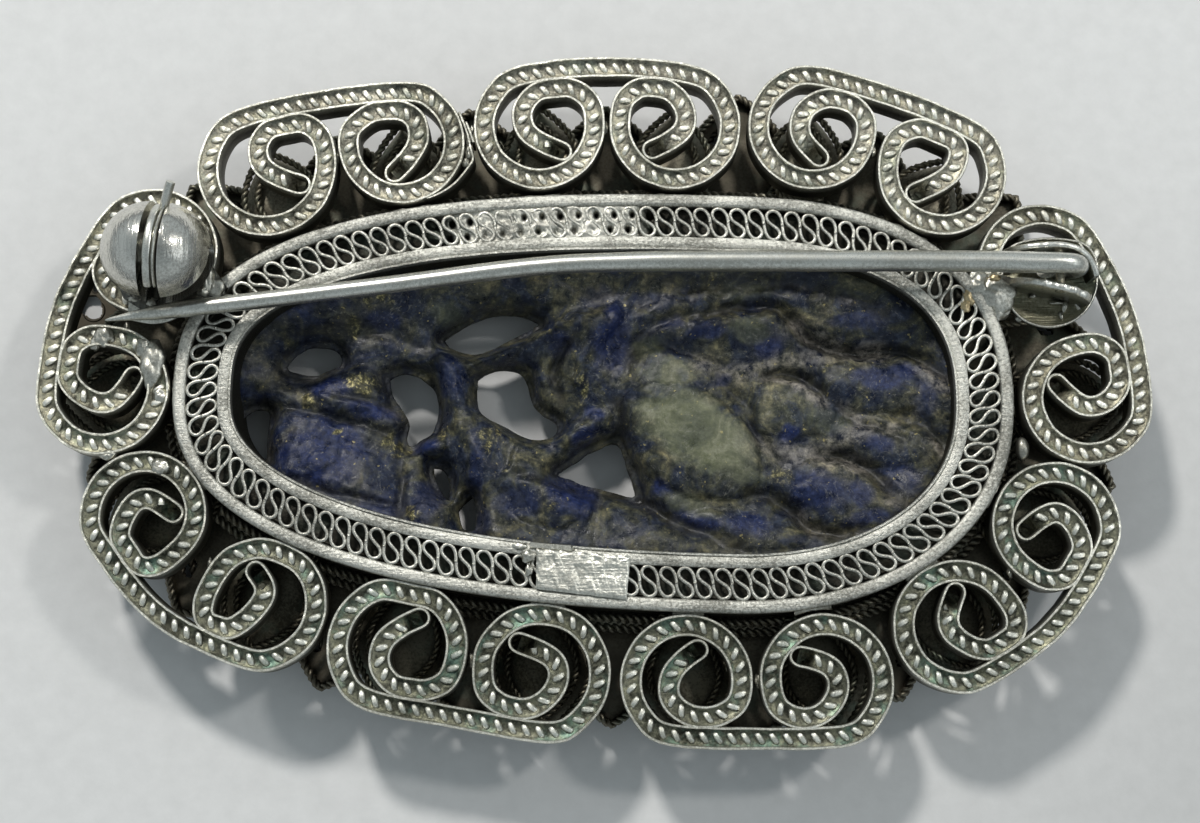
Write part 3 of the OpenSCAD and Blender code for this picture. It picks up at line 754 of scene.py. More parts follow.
walls, ropes, plates, ropes_low, plates_low = Build(), Build(), Build(), Build(), Build()
for k, (foot, tip, w) in enumerate(petals):
    rim = resample(leaf(foot, tip, w), 0.3, True)
    rim = (np.roll(rim, 1, 0) + 2 * rim + np.roll(rim, -1, 0)) / 4
    low = 0.0 if k % 2 == 0 else 0.12
    sweep(walls, rim, [(-0.09, low), (0.09, low), (0.09, low + 1.35), (-0.09, low + 1.35)], True)
    rope(ropes, leaf(foot, tip, w - 0.05)[:], low + 1.55, 0.72, 0.13, 0.12, 2, 5, 6, True)
    rope(ropes, leaf(foot + 0.5 * unit(tip - foot), tip - 0.7 * unit(tip - foot), w - 0.62), low + 0.74, 0.72, 0.12, 0.11, 2, 5, 5, True)
    rope(ropes, leaf(foot + 1.2 * unit(tip - foot), tip - 1.5 * unit(tip - foot), w - 1.35), low + 0.86, 0.72, 0.12, 0.11, 2, 4, 5, True)
    # web with a slit each side of the midrib
    d = unit(tip - foot)
    s = left(d)
    l = np.linalg.norm(tip - foot)
    N, M = 36, 20
    grid, keep = [], []
    for a_ in range(N + 1):
        for c_ in range(M + 1):
            t, x, open_ = slit(a_ / N, -1 + 2 * c_ / M, 0.665, 0.085, 0.49, 0.21, True)
            h = w * (0.42 + 0.58 * sd(150 * t)) * max(0, 1 - t ** 3) ** 0.8
            q = foot + d * l * t + s * h * x
            grid.append((q[0], q[1], low + 1.13 - 0.14 * x * x + 0.03 * nz(q[0], q[1], k)))
            keep.append(not open_)
    f = [q for q in ring_faces(N + 1, M + 1, False, False) if all(keep[j] for j in q)]
    plates.add(grid, f)
# smaller leaves under the curls themselves
for k in range(18):
    o = at(k)
    f_, d = foot_on(o, BASE)
    n = unit(o - f_)
    turn = 0.22 * nz(k * 1.3, 4.0, 2.0)
    n = V(n[0] * math.cos(turn) - n[1] * math.sin(turn), n[0] * math.sin(turn) + n[1] * math.cos(turn))
    big = k in (7, 8, 9, 10, 11, 12, 13, 14, 15, 16)
    foot, tip, w = o - 3.3 * n, o + ((3.1 if big else 1.7) + 0.4 * nz(k * 2.1, 1.0, 7.0)) * n, 2.75 if big else 2.15
    low = 1.5
    for inset, z in ((0.0, 1.42), (0.75, 1.30)):
        rope(ropes_low if big else ropes, leaf(foot + inset * n, tip - 1.2 * inset * n, w - inset), low + z, 0.72, 0.12, 0.11, 2, 4, 5, True)
    l, s = np.linalg.norm(tip - foot), left(n)
    grid, keep = [], []
    N, M = (22, 12) if big else (32, 18)
    for a_ in range(N + 1):
        for c_ in range(M + 1):
            t, x, open_ = slit(a_ / N, -1 + 2 * c_ / M, 0.635, 0.09, 0.42 if k % 2 else -0.42, 0.2, False)
            h = w * (0.42 + 0.58 * sd(150 * t)) * max(0, 1 - t ** 3) ** 0.8
            q = foot + n * l * t + s * h * x
            grid.append((q[0], q[1], low + 1.05 - 0.45 * x * x + 0.07 * nz(q[0], q[1], k)))
            keep.append(big or not open_)
    (plates_low if big else plates).add(grid, [q for q in ring_faces(N + 1, M + 1, False, False) if all(keep[j] for j in q)])
# small pierced leaf between the catch and the curl below it, with its round eye
EYE_Z = 0.55
eye_edge = resample(catmull(list(px_line([(86, 262), (102, 252), (130, 248), (165, 262), (192, 290), (186, 330), (160, 354), (122, 364), (96, 366), (74, 370), (60, 362), (60, 335), (68, 305), (77, 282), (86, 262)], EYE_Z)), 4), 0.3)[:-1]
eyes = [(from_px(94, 311, EYE_Z), 0.44, 0.44, 0), (from_px(97, 286, EYE_Z), 0.18, 0.34, -20), (from_px(77, 350, EYE_Z), 0.22, 0.36, -35)]
lo_, hi_ = eye_edge.min(0), eye_edge.max(0)
h_ = 0.07
gx_, gy_ = np.meshgrid(np.arange(lo_[0], hi_[0], h_), np.arange(lo_[1], hi_[1], h_), indexing="ij")
ok_ = np.ones(gx_.shape, bool)
px_, py_ = gx_.copy(), gy_.copy()
for c_, a_, bb_, t_ in eyes:
    u_, v_ = gx_ - c_[0], gy_ - c_[1]
    uu, vv = (u_ * cd(t_) + v_ * sd(t_)) / a_, (-u_ * sd(t_) + v_ * cd(t_)) / bb_
    e_ = np.hypot(uu, vv)
    ok_ &= e_ > 1 - 0.5 * h_ / min(a_, bb_)
    near = (e_ > 1 - 0.5 * h_ / min(a_, bb_)) & (e_ < 1 + 0.6 * h_ / min(a_, bb_))
    px_[near] = (c_[0] + u_ / np.maximum(e_, 1e-6))[near]
    py_[near] = (c_[1] + v_ / np.maximum(e_, 1e-6))[near]
ok_ &= inside(eye_edge, gx_, gy_)
# the leaf lies in front of its neighbours, which stop at its edge
for part_ in (walls, ropes, plates):
    vv_ = np.vstack(part_.v)
    under = inside(eye_edge, vv_[:, 0], vv_[:, 1]) & (vv_[:, 2] < EYE_Z + 0.35)
    part_.f = [q for q in part_.f if not any(under[j] for j in q)]
cols_ = gx_.shape[1]
for z_ in (EYE_Z, EYE_Z - 0.12):
    plates.add(np.stack([px_.ravel(), py_.ravel(), np.full(px_.size, z_)], 1),
               [(i * cols_ + j, (i + 1) * cols_ + j, (i + 1) * cols_ + j + 1, i * cols_ + j + 1)
                for i in range(gx_.shape[0] - 1) for j in range(cols_ - 1) if ok_[i, j] and ok_[i + 1, j] and ok_[i, j + 1] and ok_[i + 1, j + 1]])
rope(ropes, eye_edge, EYE_Z - 0.24, 0.72, 0.13, 0.12, 2, 5, 6, True)
sweep(walls, eye_edge, [(-0.08, 0.05), (0.08, 0.05), (0.08, EYE_Z), (-0.08, EYE_Z)], True)
for c_, a_, bb_, t_ in eyes:
    loop_ = [V(c_[0] + (a_ + 0.05) * cd(w_) * cd(t_) - (bb_ + 0.05) * sd(w_) * sd(t_), c_[1] + (a_ + 0.05) * cd(w_) * sd(t_) + (bb_ + 0.05) * sd(w_) * cd(t_), EYE_Z - 0.12) for w_ in range(0, 360, 15)]
    tube(plates, loop_, 0.19 if a_ > 0.4 else 0.13, 8, True)
for part_, grow_ in ((walls, 1.08), (ropes, 1.08), (plates, 0.97)):
    vv_ = np.vstack(part_.v)
    k_ = (EYE_Z - CAM_P[2]) / (vv_[:, 2] - CAM_P[2])
    sx_, sy_ = CAM_P[0] + (vv_[:, 0] - CAM_P[0]) * k_, CAM_P[1] + (vv_[:, 1] - CAM_P[1]) * k_
    blocked = np.zeros(len(vv_), bool)
    for c_, a_, bb_, t_ in eyes:
        u_, v_ = sx_ - c_[0], sy_ - c_[1]
        e_ = np.hypot((u_ * cd(t_) + v_ * sd(t_)) / a_, (-u_ * sd(t_) + v_ * cd(t_)) / bb_)
        blocked |= e_ < grow_
        # nothing stands in the light that falls through the eye either
        w_ = np.hypot(vv_[:, 0] + 0.366 * vv_[:, 2] - c_[0], vv_[:, 1] - 0.848 * vv_[:, 2] - c_[1] + 0.15)
        blocked |= (w_ < (0.55 if a_ > 0.4 else 0.0)) & (vv_[:, 2] > 0.1) & (vv_[:, 0] < -22)
    part_.f = [q for q in part_.f if not any(blocked[j] for j in q)]
walls.object("petal_walls", mat_front, slot="dark_silver", replaces=("front_petals",))
ropes.object("petal_twist", mat_front, slot="dark_silver", sharp=None)
plates.object("petal_webs", mat_front, slot="dark_silver", sharp=None)
# painted shade: the leaves under the lower curls take the darker copy of the front silver
ropes_low.object("leaf_twist", mat_leaf_painted_shade, slot="dark_silver", sharp=None)
plates_low.object("leaf_webs", mat_leaf_painted_shade, slot="dark_silver", sharp=None)

b = Build()
sweep(b, oval(0.35, 0.2), [(-0.5, 0.5), (0.5, 0.5), (0.55, 1.2), (0.5, 2.3), (0.3, 2.45), (-0.3, 2.45), (-0.5, 2.3)], True)
sweep(b, oval(-0.7, 0.2), [(-0.5, 0.5), (0.5, 0.5), (0.5, 2.55), (-0.5, 2.55)], True)
b.object("front_collar", mat_collar, slot="dark_silver")
b = Build()
rope(b, oval(0.32), 2.62, 0.85, 0.14, 0.15, 2, 6, 6, True)
rope(b, oval(0.80), 2.35, 0.85, 0.14, 0.15, 2, 5, 6, True)
rope(b, oval(0.2), 0.5, 0.85, 0.15, 0.15, 2, 5, 5, True)
rope(b, oval(-1.0), 0.75, 0.85, 0.15, 0.15, 2, 5, 5, True)
b.object("collar_twist", mat_collar, slot="dark_silver", sharp=None)


# ---------------------------------------------------------------- carved stone
# pierced openings and relief, placed in the photograph's frame
HOLE_PX = [
    [(440, 336), (460, 322), (485, 311), (515, 309), (537, 317), (532, 322), (507, 335), (487, 345), (470, 349), (450, 343)],
    [(386, 374), (402, 368), (422, 375), (434, 390), (436, 409), (430, 428), (418, 436), (408, 443), (403, 435), (406, 420), (400, 407), (390, 393)],
    [(475, 375), (492, 365), (517, 367), (527, 382), (532, 400), (542, 410), (556, 420), (553, 432), (540, 436), (522, 433), (500, 421), (485, 414), (477, 405), (475, 390)],
    [(555, 471), (577, 457), (592, 447), (617, 440), (628, 465), (636, 493), (617, 490), (597, 485), (578, 480)],
    [(431, 464), (441, 466), (447, 481), (447, 498), (439, 489), (432, 474)],
    [(456, 508), (471, 493), (475, 515), (473, 529), (461, 526)],
    [(282, 361), (292, 349), (307, 342), (327, 343), (336, 350), (336, 360), (322, 366), (312, 370), (295, 369), (284, 365)],
    [(233, 418), (243, 409), (255, 405), (264, 410), (262, 432), (261, 455), (252, 450), (242, 440), (235, 429)],
]
HOLES = [px_line(h, 3.6) for h in HOLE_PX]
STONE_EDGE = oval(-2.86, 0.15)


def dist_line(poly, x, y, closed=False):
    """Distance to a polyline, and how far along it (0 to 1) the nearest place is."""
    q = np.vstack([poly, poly[:1]]) if closed else poly
    best = np.full(x.shape, 1e9)
    where = np.zeros(x.shape)
    s = length_along(q)
    for i in range(len(q) - 1):
        a, ab = q[i], q[i + 1] - q[i]
        l2 = max(1e-12, ab @ ab)
        t = np.clip(((x - a[0]) * ab[0] + (y - a[1]) * ab[1]) / l2, 0, 1)
        d = np.hypot(x - a[0] - t * ab[0], y - a[1] - t * ab[1])
        m_ = d < best
        best[m_] = d[m_]
        where[m_] = ((s[i] + t * math.sqrt(l2)) / s[-1])[m_]
    return best, where


def smooth_line(pts, z=3.9, k=5):
    return catmull(list(px_line(pts, z)), k)


# relief: (line, half width mm, height mm), raised where positive
RIDGES = [
    ([(437, 342), (445, 362), (455, 390), (468, 412), (474, 440), (480, 470), (483, 520), (480, 540)], 1.05, 0.85),     # trunk
    ([(470, 360), (500, 352), (530, 342), (560, 328), (600, 318), (625, 310)], 0.75, 0.7),                              # upper branch
    ([(478, 412), (500, 430), (525, 440), (555, 436), (580, 428), (605, 418)], 0.6, 0.55),                              # rail under the middle opening
    ([(300, 395), (340, 402), (380, 410), (400, 418)], 0.7, 0.35),                                                      # fold of the left leaf
    ([(505, 462), (530, 475), (560, 495), (595, 510)], 1.2, 0.75),                                                      # lower leaf
    ([(545, 385), (560, 350), (585, 330), (610, 318)], 0.9, 0.5),
    ([(575, 385), (583, 360), (598, 335), (620, 318)], 0.35, 0.45),
    ([(260, 320), (330, 305), (400, 300), (480, 290), (560, 285)], 1.3, 0.35),
    ([(410, 520), (435, 505), (452, 520), (455, 540)], 0.9, 0.5),
]
GROOVES = [
    ([(710, 312), (740, 304), (765, 303), (790, 315), (803, 330), (828, 343), (860, 350), (890, 348), (922, 357), (948, 380)], 0.34, 0.75),
    ([(765, 375), (785, 372), (808, 377), (823, 390), (826, 402)], 0.30, 0.65),
    ([(818, 455), (850, 457), (872, 472), (888, 490), (903, 502)], 0.42, 0.75),
    ([(750, 492), (775, 497), (795, 512), (808, 527), (830, 534), (860, 533)], 0.38, 0.7),
    ([(618, 400), (620, 430), (628, 462), (638, 492), (665, 515), (695, 530), (740, 546)], 0.42, 0.7),
    ([(907, 415), (930, 428), (948, 452)], 0.36, 0.5),
    ([(628, 362), (645, 330), (675, 315), (705, 312)], 0.35, 0.4),
    ([(712, 368), (730, 388), (748, 405), (752, 425), (768, 446), (785, 462)], 0.30, 0.32),
    ([(835, 400), (850, 416), (880, 428), (905, 440)], 0.25, 0.3),
    ([(650, 340), (690, 352), (720, 362)], 0.3, 0.25),
    ([(560, 395), (553, 375), (560, 352), (575, 335)], 0.30, 0.55),
    ([(330, 392), (365, 398), (398, 405)], 0.22, 0.35),
    ([(275, 405), (320, 412), (370, 425), (395, 432)], 0.22, 0.35),
    ([(285, 480), (330, 492), (370, 500), (410, 508)], 0.28, 0.3),
    ([(395, 455), (400, 480), (398, 505), (400, 525)], 0.28, 0.4),
    ([(515, 470), (545, 480), (580, 492), (600, 505)], 0.24, 0.35),
    ([(640, 270), (700, 285), (760, 282), (830, 290), (880, 315)], 0.5, 0.35),
    ([(300, 330), (350, 325), (400, 335), (430, 350)], 0.4, 0.3),
]
# mounds: (x, y, half length, half width, turn, height), in pixels but for the height
MOUNDS = [
    (300, 440, 40, 36, 20, 0.42), (345, 478, 44, 34, 15, 0.40), (350, 385, 44, 24, 8, 0.50), (432, 442, 15, 11, 5, 0.75), (445, 510, 28, 26, 40, 0.45),
    (690, 440, 80, 52, 32, 1.25), (672, 372, 45, 32, -10, 0.5), (790, 408, 48, 30, 8, 0.58), (745, 335, 60, 26, -5, 0.55),
    (870, 385, 58, 28, 8, 0.75), (850, 492, 62, 34, 15, 0.8), (880, 440, 46, 26, 10, 0.55), (580, 350, 26, 44, -20, 0.55),
    (845, 310, 90, 26, 8, 0.35), (740, 530, 70, 18, 8, 0.45), (655, 318, 40, 18, -25, 0.35), (540, 500, 42, 26, 20, 0.5),
    (300, 300, 60, 16, -8, 0.25), (520, 295, 60, 16, -4, 0.3), (930, 420, 22, 50, 15, 0.35), (500, 540, 60, 20, 5, 0.3),
]


def ellipse(x, y, e, z=3.9):
    """0 at the edge of an ellipse given in pixels, 1 in its middle, negative outside."""
    c = from_px(e[0], e[1], z)
    k = 0.0505
    a = math.radians(-e[4]) if len(e) > 4 else 0.0
    dx, dy = x - c[0], y - c[1]
    u = (dx * math.cos(a) + dy * math.sin(a)) / (e[2] * k)
    v = (-dx * math.sin(a) + dy * math.cos(a)) / (e[3] * k)
    return 1 - (u * u + v * v)


def fbm_grid(x, y, scale, octaves, seed):
    r = np.empty(x.size)
    xf, yf = x.ravel() * scale, y.ravel() * scale
    for i in range(x.size):
        r[i] = fbm(xf[i], yf[i], seed, octaves)
    return r.reshape(x.shape)


def stone_top(x, y, hole_d, edge_d):
    low = fbm_grid(x, y, 0.22, 3, 3.0)
    fine = fbm_grid(x, y, 0.9, 4, 11.0)
    wx, wy = x + 0.18 * fine, y + 0.18 * np.roll(fine, 7, 0)
    z = 3.05 + 0.18 * low + 0.10 * fine
    z = z + 0.35 * smooth_step(x, 0.0, 4.0)
    for e in MOUNDS:
        q = ellipse(wx, wy, e)
        z += e[5] * np.sqrt(np.clip(q, 0, 1)) * 0.75 + e[5] * 0.25 * np.exp(-np.clip(1 - q, 0, 9) * 1.2)
    for pts, w, h in RIDGES:
        d, t = dist_line(smooth_line(pts), wx, wy)
        fade = smooth_step(t, 0.0, 0.06) * (1 - smooth_step(t, 0.94, 1.0))
        z = z + h * (0.35 + 0.65 * fade) * np.exp(-(d / w) ** 2 * 1.4)
    for pts, w, h in GROOVES:
        d, t = dist_line(smooth_line(pts), wx, wy)
        fade = np.sin(np.pi * np.clip(t, 0.04, 0.96)) ** 0.5
        z = z - 1.2 * h * fade * np.exp(-(d / w) ** 2)
    z = z - 0.95 * np.exp(-(hole_d / 0.42) ** 2) - 0.50 * np.exp(-(hole_d / 1.1) ** 2)
    z = z + (0.75 - 0.30 * smooth_step(-x, 10.0, 16.0)) * np.exp(-(edge_d / 1.5) ** 2) * smooth_step(hole_d, 0.3, 1.6)
    z += 0.035 * fbm_grid(x, y, 3.2, 3, 5.0)
    z = np.where(z > 3.9, 3.9 + 0.46 * np.tanh((z - 3.9) / 0.62), z)
    return np.clip(z, 1.9, 4.36)


def build_stone():
    h = 0.125
    lo, hi = STONE_EDGE.min(0) - 2 * h, STONE_EDGE.max(0) + 2 * h
    nx, ny = int((hi[0] - lo[0]) / h) + 1, int((hi[1] - lo[1]) / h) + 1
    X, Y = np.meshgrid(lo[0] + h * np.arange(nx), lo[1] + h * np.arange(ny), indexing="ij")
    holes = [catmull(list(np.vstack([q, q[:1]])), 4)[:-1] for q in HOLES]
    cx, cy = X[:-1, :-1] + h / 2, Y[:-1, :-1] + h / 2
    cell = inside(STONE_EDGE, cx, cy)
    for q in holes:
        cell &= ~inside(q, cx, cy)
    used = np.zeros((nx, ny), bool)
    count = np.zeros((nx, ny), int)
    for dx in (0, 1):
        for dy in (0, 1):
            used[dx:nx - 1 + dx, dy:ny - 1 + dy] |= cell
            count[dx:nx - 1 + dx, dy:ny - 1 + dy] += cell
    border = used & (count < 4)
    # border points move onto the true outline
    loops = [STONE_EDGE] + holes
    for i, j in np.argwhere(border):
        p_ = V(X[i, j], Y[i, j])
        best, bd = None, 9
        for q in loops:
            f, d = foot_on(p_, np.vstack([q, q[:1]]))
            if d < bd:
                best, bd = f, d
        if bd < 1.2 * h:
            X[i, j], Y[i, j] = best
    hole_d = np.full(X.shape, 9.0)
    for q in holes:
        hole_d = np.minimum(hole_d, dist_line(q, X, Y, True)[0])
    edge_d = dist_line(STONE_EDGE, X, Y, True)[0]
    zt = stone_top(X, Y, hole_d, edge_d)
    zb = 1.05 - 0.15 * fbm_grid(X, Y, 0.35, 3, 21.0) + 0.75 * np.exp(-(hole_d / 0.5) ** 2) + 0.5 * np.exp(-(edge_d / 0.8) ** 2)
    zb -= 0.42 * (zt - 3.45) * smooth_step(hole_d, 0.0, 0.5)
    zb -= 0.22 * np.sqrt(np.clip(1 - ((X - 2) / 19) ** 2 - (Y / 8.5) ** 2, 0, 1))
    zb = np.clip(zb, 0.45, 1.8)
    index = -np.ones((nx, ny), int)
    ids = np.argwhere(used)
    index[used] = np.arange(len(ids))
    m_ = len(ids)
    xs, ys = X[used], Y[used]
    verts = [np.stack([xs, ys, zt[used]], 1), np.stack([xs, ys, zb[used]], 1)]
    faces, edges = [], {}
    for i, j in np.argwhere(cell):
        q = (index[i, j], index[i + 1, j], index[i + 1, j + 1], index[i, j + 1])
        faces.append(tuple(int(a) for a in q))
        faces.append(tuple(int(a) + m_ for a in q[::-1]))
        for a, c in zip(q, q[1:] + q[:1]):
            edges[(int(a), int(c))] = True
    walls_ = [(a, c) for a, c in edges if (c, a) not in edges]
    # two rings of points down each wall, set a little out of the opening
    levels = 3
    ring_id, extra = {}, []
    n0 = 2 * m_
    for a, c in walls_:
        for k in (a, c):
            if k not in ring_id:
                ring_id[k] = n0 + len(extra)
                x, y = xs[k], ys[k]
                z0, z1 = verts[0][k][2], verts[1][k][2]
                for l in range(1, levels):
                    t = l / levels
                    extra.append((x + 0.10 * nz(x * 1.3, y * 1.3, 4 * t), y + 0.10 * nz(x * 1.3 + 5, y * 1.3, 4 * t), z0 + (z1 - z0) * t))
    for a, c in walls_:
        top_a, top_c = a, c
        for l in range(1, levels + 1):
            na = ring_id[a] + l - 1 if l < levels else a + m_
            nc = ring_id[c] + l - 1 if l < levels else c + m_
            faces.append((top_c, top_a, na, nc))
            top_a, top_c = na, nc
    return np.vstack(verts + [np.array(extra)]), faces


# colour patches: (x, y, half length, half width, turn, strength)
BLUE = [
    (330, 385, 26, 10, 0, .8), (372, 410, 28, 10, 8, .8), (320, 452, 50, 36, 0, .7), (385, 505, 30, 16, 0, .55), (425, 443, 15, 9, 0, 1),
    (450, 375, 16, 24, 0, .5), (583, 432, 16, 8, -20, .9), (572, 493, 30, 22, 20, 1), (520, 500, 26, 16, 0, .6), (610, 335, 16, 36, 20, .9),
    (560, 342, 16, 14, 0, .7), (385, 318, 16, 12, 0, .6), (475, 470, 8, 40, 0, .55), (480, 520, 12, 20, 0, .6), (600, 295, 22, 12, 0, .5),
    (617, 330, 16, 16, 0, .7), (613, 348, 20, 24, 0, .9), (598, 412, 10, 10, 0, .8), (660, 487, 9, 11, 0, 1), (700, 520, 24, 9, 12, 1),
    (750, 525, 22, 13, 0, .9), (710, 331, 20, 8, 0, .8), (770, 347, 14, 11, 0, .9), (725, 378, 10, 7, 0, .8), (790, 431, 12, 9, 0, 1.2),
    (878, 378, 30, 12, 5, .8), (905, 370, 16, 12, 0, .8), (820, 490, 30, 22, 10, .8), (858, 495, 16, 14, 0, .8), (865, 518, 26, 8, -10, .7),
    (880, 442, 16, 9, 0, .7), (682, 375, 5, 5, 0, .8), (860, 320, 30, 9, 0, .6), (675, 320, 12, 9, 0, .7), (300, 305, 20, 8, 0, .4),
    (425, 500, 20, 24, 20, .7), (655, 300, 30, 10, 0, .5), (900, 480, 24, 16, 20, .6), (925, 400, 14, 20, 0, .5), (760, 300, 20, 8, 0, .5),
]
PALE = [
    (697, 432, 66, 36, 33, .9), (668, 372, 26, 18, 0, .55), (784, 405, 36, 22, 8, .15), (750, 330, 22, 14, 0, .6), (700, 415, 30, 16, 20, 1),
    (735, 470, 36, 12, 20, .5), (650, 345, 16, 12, 0, .5), (445, 310, 18, 12, 0, .5), (745, 290, 36, 10, 0, .3), (830, 420, 26, 14, 0, .35),
    (870, 290, 40, 10, 0, .25), (690, 505, 30, 9, 25, .4),
]
GOLD = [
    (305, 399, 9, 7, 0, 1), (337, 427, 7, 3, -20, 1.2), (385, 435, 7, 8, 0, 1), (395, 445, 7, 9, 0, .9), (352, 325, 7, 12, 0, .8),
    (360, 382, 18, 12, 10, .9), (412, 513, 6, 6, 0, 1), (407, 445, 4, 4, 0, 1), (442, 430, 6, 8, 0, .9), (487, 447, 3, 8, 0, 1),
    (552, 505, 8, 6, 0, .8), (385, 297, 10, 8, 0, .8), (490, 435, 10, 8, 0, .6), (583, 387, 5, 14, 0, .9), (827, 365, 5, 5, 0, .6), (782, 475, 12, 9, 0, .5),
    (350, 530, 6, 4, 0, .6), (370, 300, 5, 5, 0, .7), (330, 500, 3, 3, 0, .7), (505, 470, 4, 3, 0, .7),
]
VEIN = [
    ([(797, 325), (812, 335), (835, 345), (855, 352), (880, 350)], 0.42, 1.0), ([(765, 378), (785, 380), (805, 388), (822, 402)], 0.22, .8),
    ([(812, 452), (840, 462), (862, 466)], 0.45, .9), ([(800, 515), (815, 530), (838, 536)], 0.3, .6), ([(700, 362), (735, 372), (775, 362), (830, 352)], 0.5, .45),
    ([(765, 445), (800, 455), (830, 447), (870, 425)], 0.5, .5), ([(890, 500), (905, 505)], 0.3, .7), ([(925, 370), (945, 388)], 0.3, .8),
    ([(845, 408), (870, 425), (895, 428)], 0.25, .7), ([(930, 440), (948, 458)], 0.12, .9),
]


def patch_mask(x, y, table):
    """Soft-edged patches broken up by noise."""
    w = fbm_grid(x, y, 1.1, 4, 31.0)
    r = np.zeros(x.shape)
    for e in table:
        q = ellipse(x + 0.25 * w, y + 0.25 * np.roll(w, 5), e)
        r = np.maximum(r, e[5] * smooth_step(q + 0.35 * w, -0.45, 0.75))
    return r


def lapis(name):
    m, nt, bs = node_mat(name)
    tc = nt.nodes.new("ShaderNodeTexCoord")
    ob = tc.outputs["Object"]

    def attr(a):
        n = nt.nodes.new("ShaderNodeAttribute")
        n.attribute_name = a
        return n.outputs["Fac"]

    cloud = tex(nt, "ShaderNodeTexNoise", ob, 520.0, 7.0, 0.62, 0.8)
    cloud2 = tex(nt, "ShaderNodeTexNoise", ob, 1700.0, 6.0, 0.7, 0.3)
    speck = tex(nt, "ShaderNodeTexNoise", ob, 5200.0, 4.0, 0.7)
    # grey-green and beige matrix with dull blue clouds
    base = ramp(nt, cloud.outputs["Fac"], [(0.30, (0.008, 0.013, 0.031)), (0.42, (0.018, 0.024, 0.042)), (0.53, (0.042, 0.044, 0.034)), (0.70, (0.110, 0.102, 0.066))]).outputs["Color"]
    grey = ramp(nt, cloud2.outputs["Fac"], [(0.38, (0.33, 0.38, 0.52)), (0.51, (0.92, 0.92, 0.90)), (0.63, (2.05, 1.94, 1.62))]).outputs["Color"]
    base = mix_col(nt, 1.0, base, grey, "MULTIPLY")
    blue = ramp(nt, cloud2.outputs["Fac"], [(0.34, (0.002, 0.006, 0.032)), (0.52, (0.009, 0.018, 0.074)), (0.70, (0.028, 0.040, 0.108))]).outputs["Color"]
    kb = math_node(nt, "MULTIPLY", attr("blue"), math_node(nt, "ADD", 0.45, math_node(nt, "MULTIPLY", cloud2.outputs["Fac"], 0.95)), True)
    col = mix_col(nt, kb, base, blue)
    soft = math_node(nt, "ADD", math_node(nt, "MULTIPLY", cloud.outputs["Fac"], 0.75), math_node(nt, "MULTIPLY", cloud2.outputs["Fac"], 0.25))
    pale = ramp(nt, soft, [(0.36, (0.078, 0.088, 0.052)), (0.50, (0.145, 0.155, 0.092)), (0.64, (0.265, 0.268, 0.195))]).outputs["Color"]
    col = mix_col(nt, math_node(nt, "MULTIPLY", attr("pale"), math_node(nt, "ADD", 0.45, math_node(nt, "MULTIPLY", cloud.outputs["Fac"], 0.9)), True), col, pale)
    vein = ramp(nt, cloud2.outputs["Fac"], [(0.37, (0.10, 0.095, 0.082)), (0.60, (0.33, 0.30, 0.265))]).outputs["Color"]
    sp = ramp(nt, speck.outputs["Fac"], [(0.44, (0.10, 0.10, 0.10)), (0.58, (1, 1, 1))]).outputs["Color"]
    vs = ramp(nt, cloud2.outputs["Fac"], [(0.40, (0.12, 0.12, 0.12)), (0.52, (1, 1, 1))]).outputs["Color"]
    col = mix_col(nt, math_node(nt, "MULTIPLY", attr("vein"), vs, True), col, vein)
    # hair-fine pale lines through the whole stone
    warp = tex(nt, "ShaderNodeTexNoise", ob, 700.0, 3.0, 0.6, 1.2)
    hair = ramp(nt, warp.outputs["Fac"], [(0.488, (0, 0, 0)), (0.50, (1, 1, 1)), (0.512, (0, 0, 0))]).outputs["Color"]
    hk = math_node(nt, "MULTIPLY", math_node(nt, "MULTIPLY", hair, sp), 0.40, True)
    col = mix_col(nt, hk, col, (0.22, 0.215, 0.19))
    gold = ramp(nt, speck.outputs["Fac"], [(0.40, (0.060, 0.058, 0.028)), (0.52, (0.125, 0.115, 0.055)), (0.64, (0.36, 0.32, 0.16))]).outputs["Color"]
    gs = ramp(nt, tex(nt, "ShaderNodeTexNoise", ob, 2600.0, 3.0, 0.6).outputs["Fac"], [(0.42, (0.15, 0.15, 0.15)), (0.58, (1, 1, 1))]).outputs["Color"]
    kg = math_node(nt, "MULTIPLY", attr("gold"), gs, True)
    col = mix_col(nt, kg, col, gold)
    # scattered fine pyrite
    fl = ramp(nt, tex(nt, "ShaderNodeTexNoise", ob, 3300.0, 2.0, 0.5).outputs["Fac"], [(0.70, (0, 0, 0)), (0.74, (1, 1, 1))]).outputs["Color"]
    kf = math_node(nt, "MULTIPLY", fl, 0.55)
    col = mix_col(nt, kf, col, (0.40, 0.34, 0.15))
    # fine crystalline mottling
    mott = ramp(nt, speck.outputs["Fac"], [(0.36, (0.62, 0.62, 0.64)), (0.50, (1, 1, 1)), (0.64, (1.55, 1.53, 1.46))]).outputs["Color"]
    still = math_node(nt, "SUBTRACT", 0.78, math_node(nt, "MULTIPLY", attr("pale"), 0.55), True)
    col = mix_col(nt, still, col, mix_col(nt, 1.0, col, mott, "MULTIPLY"))
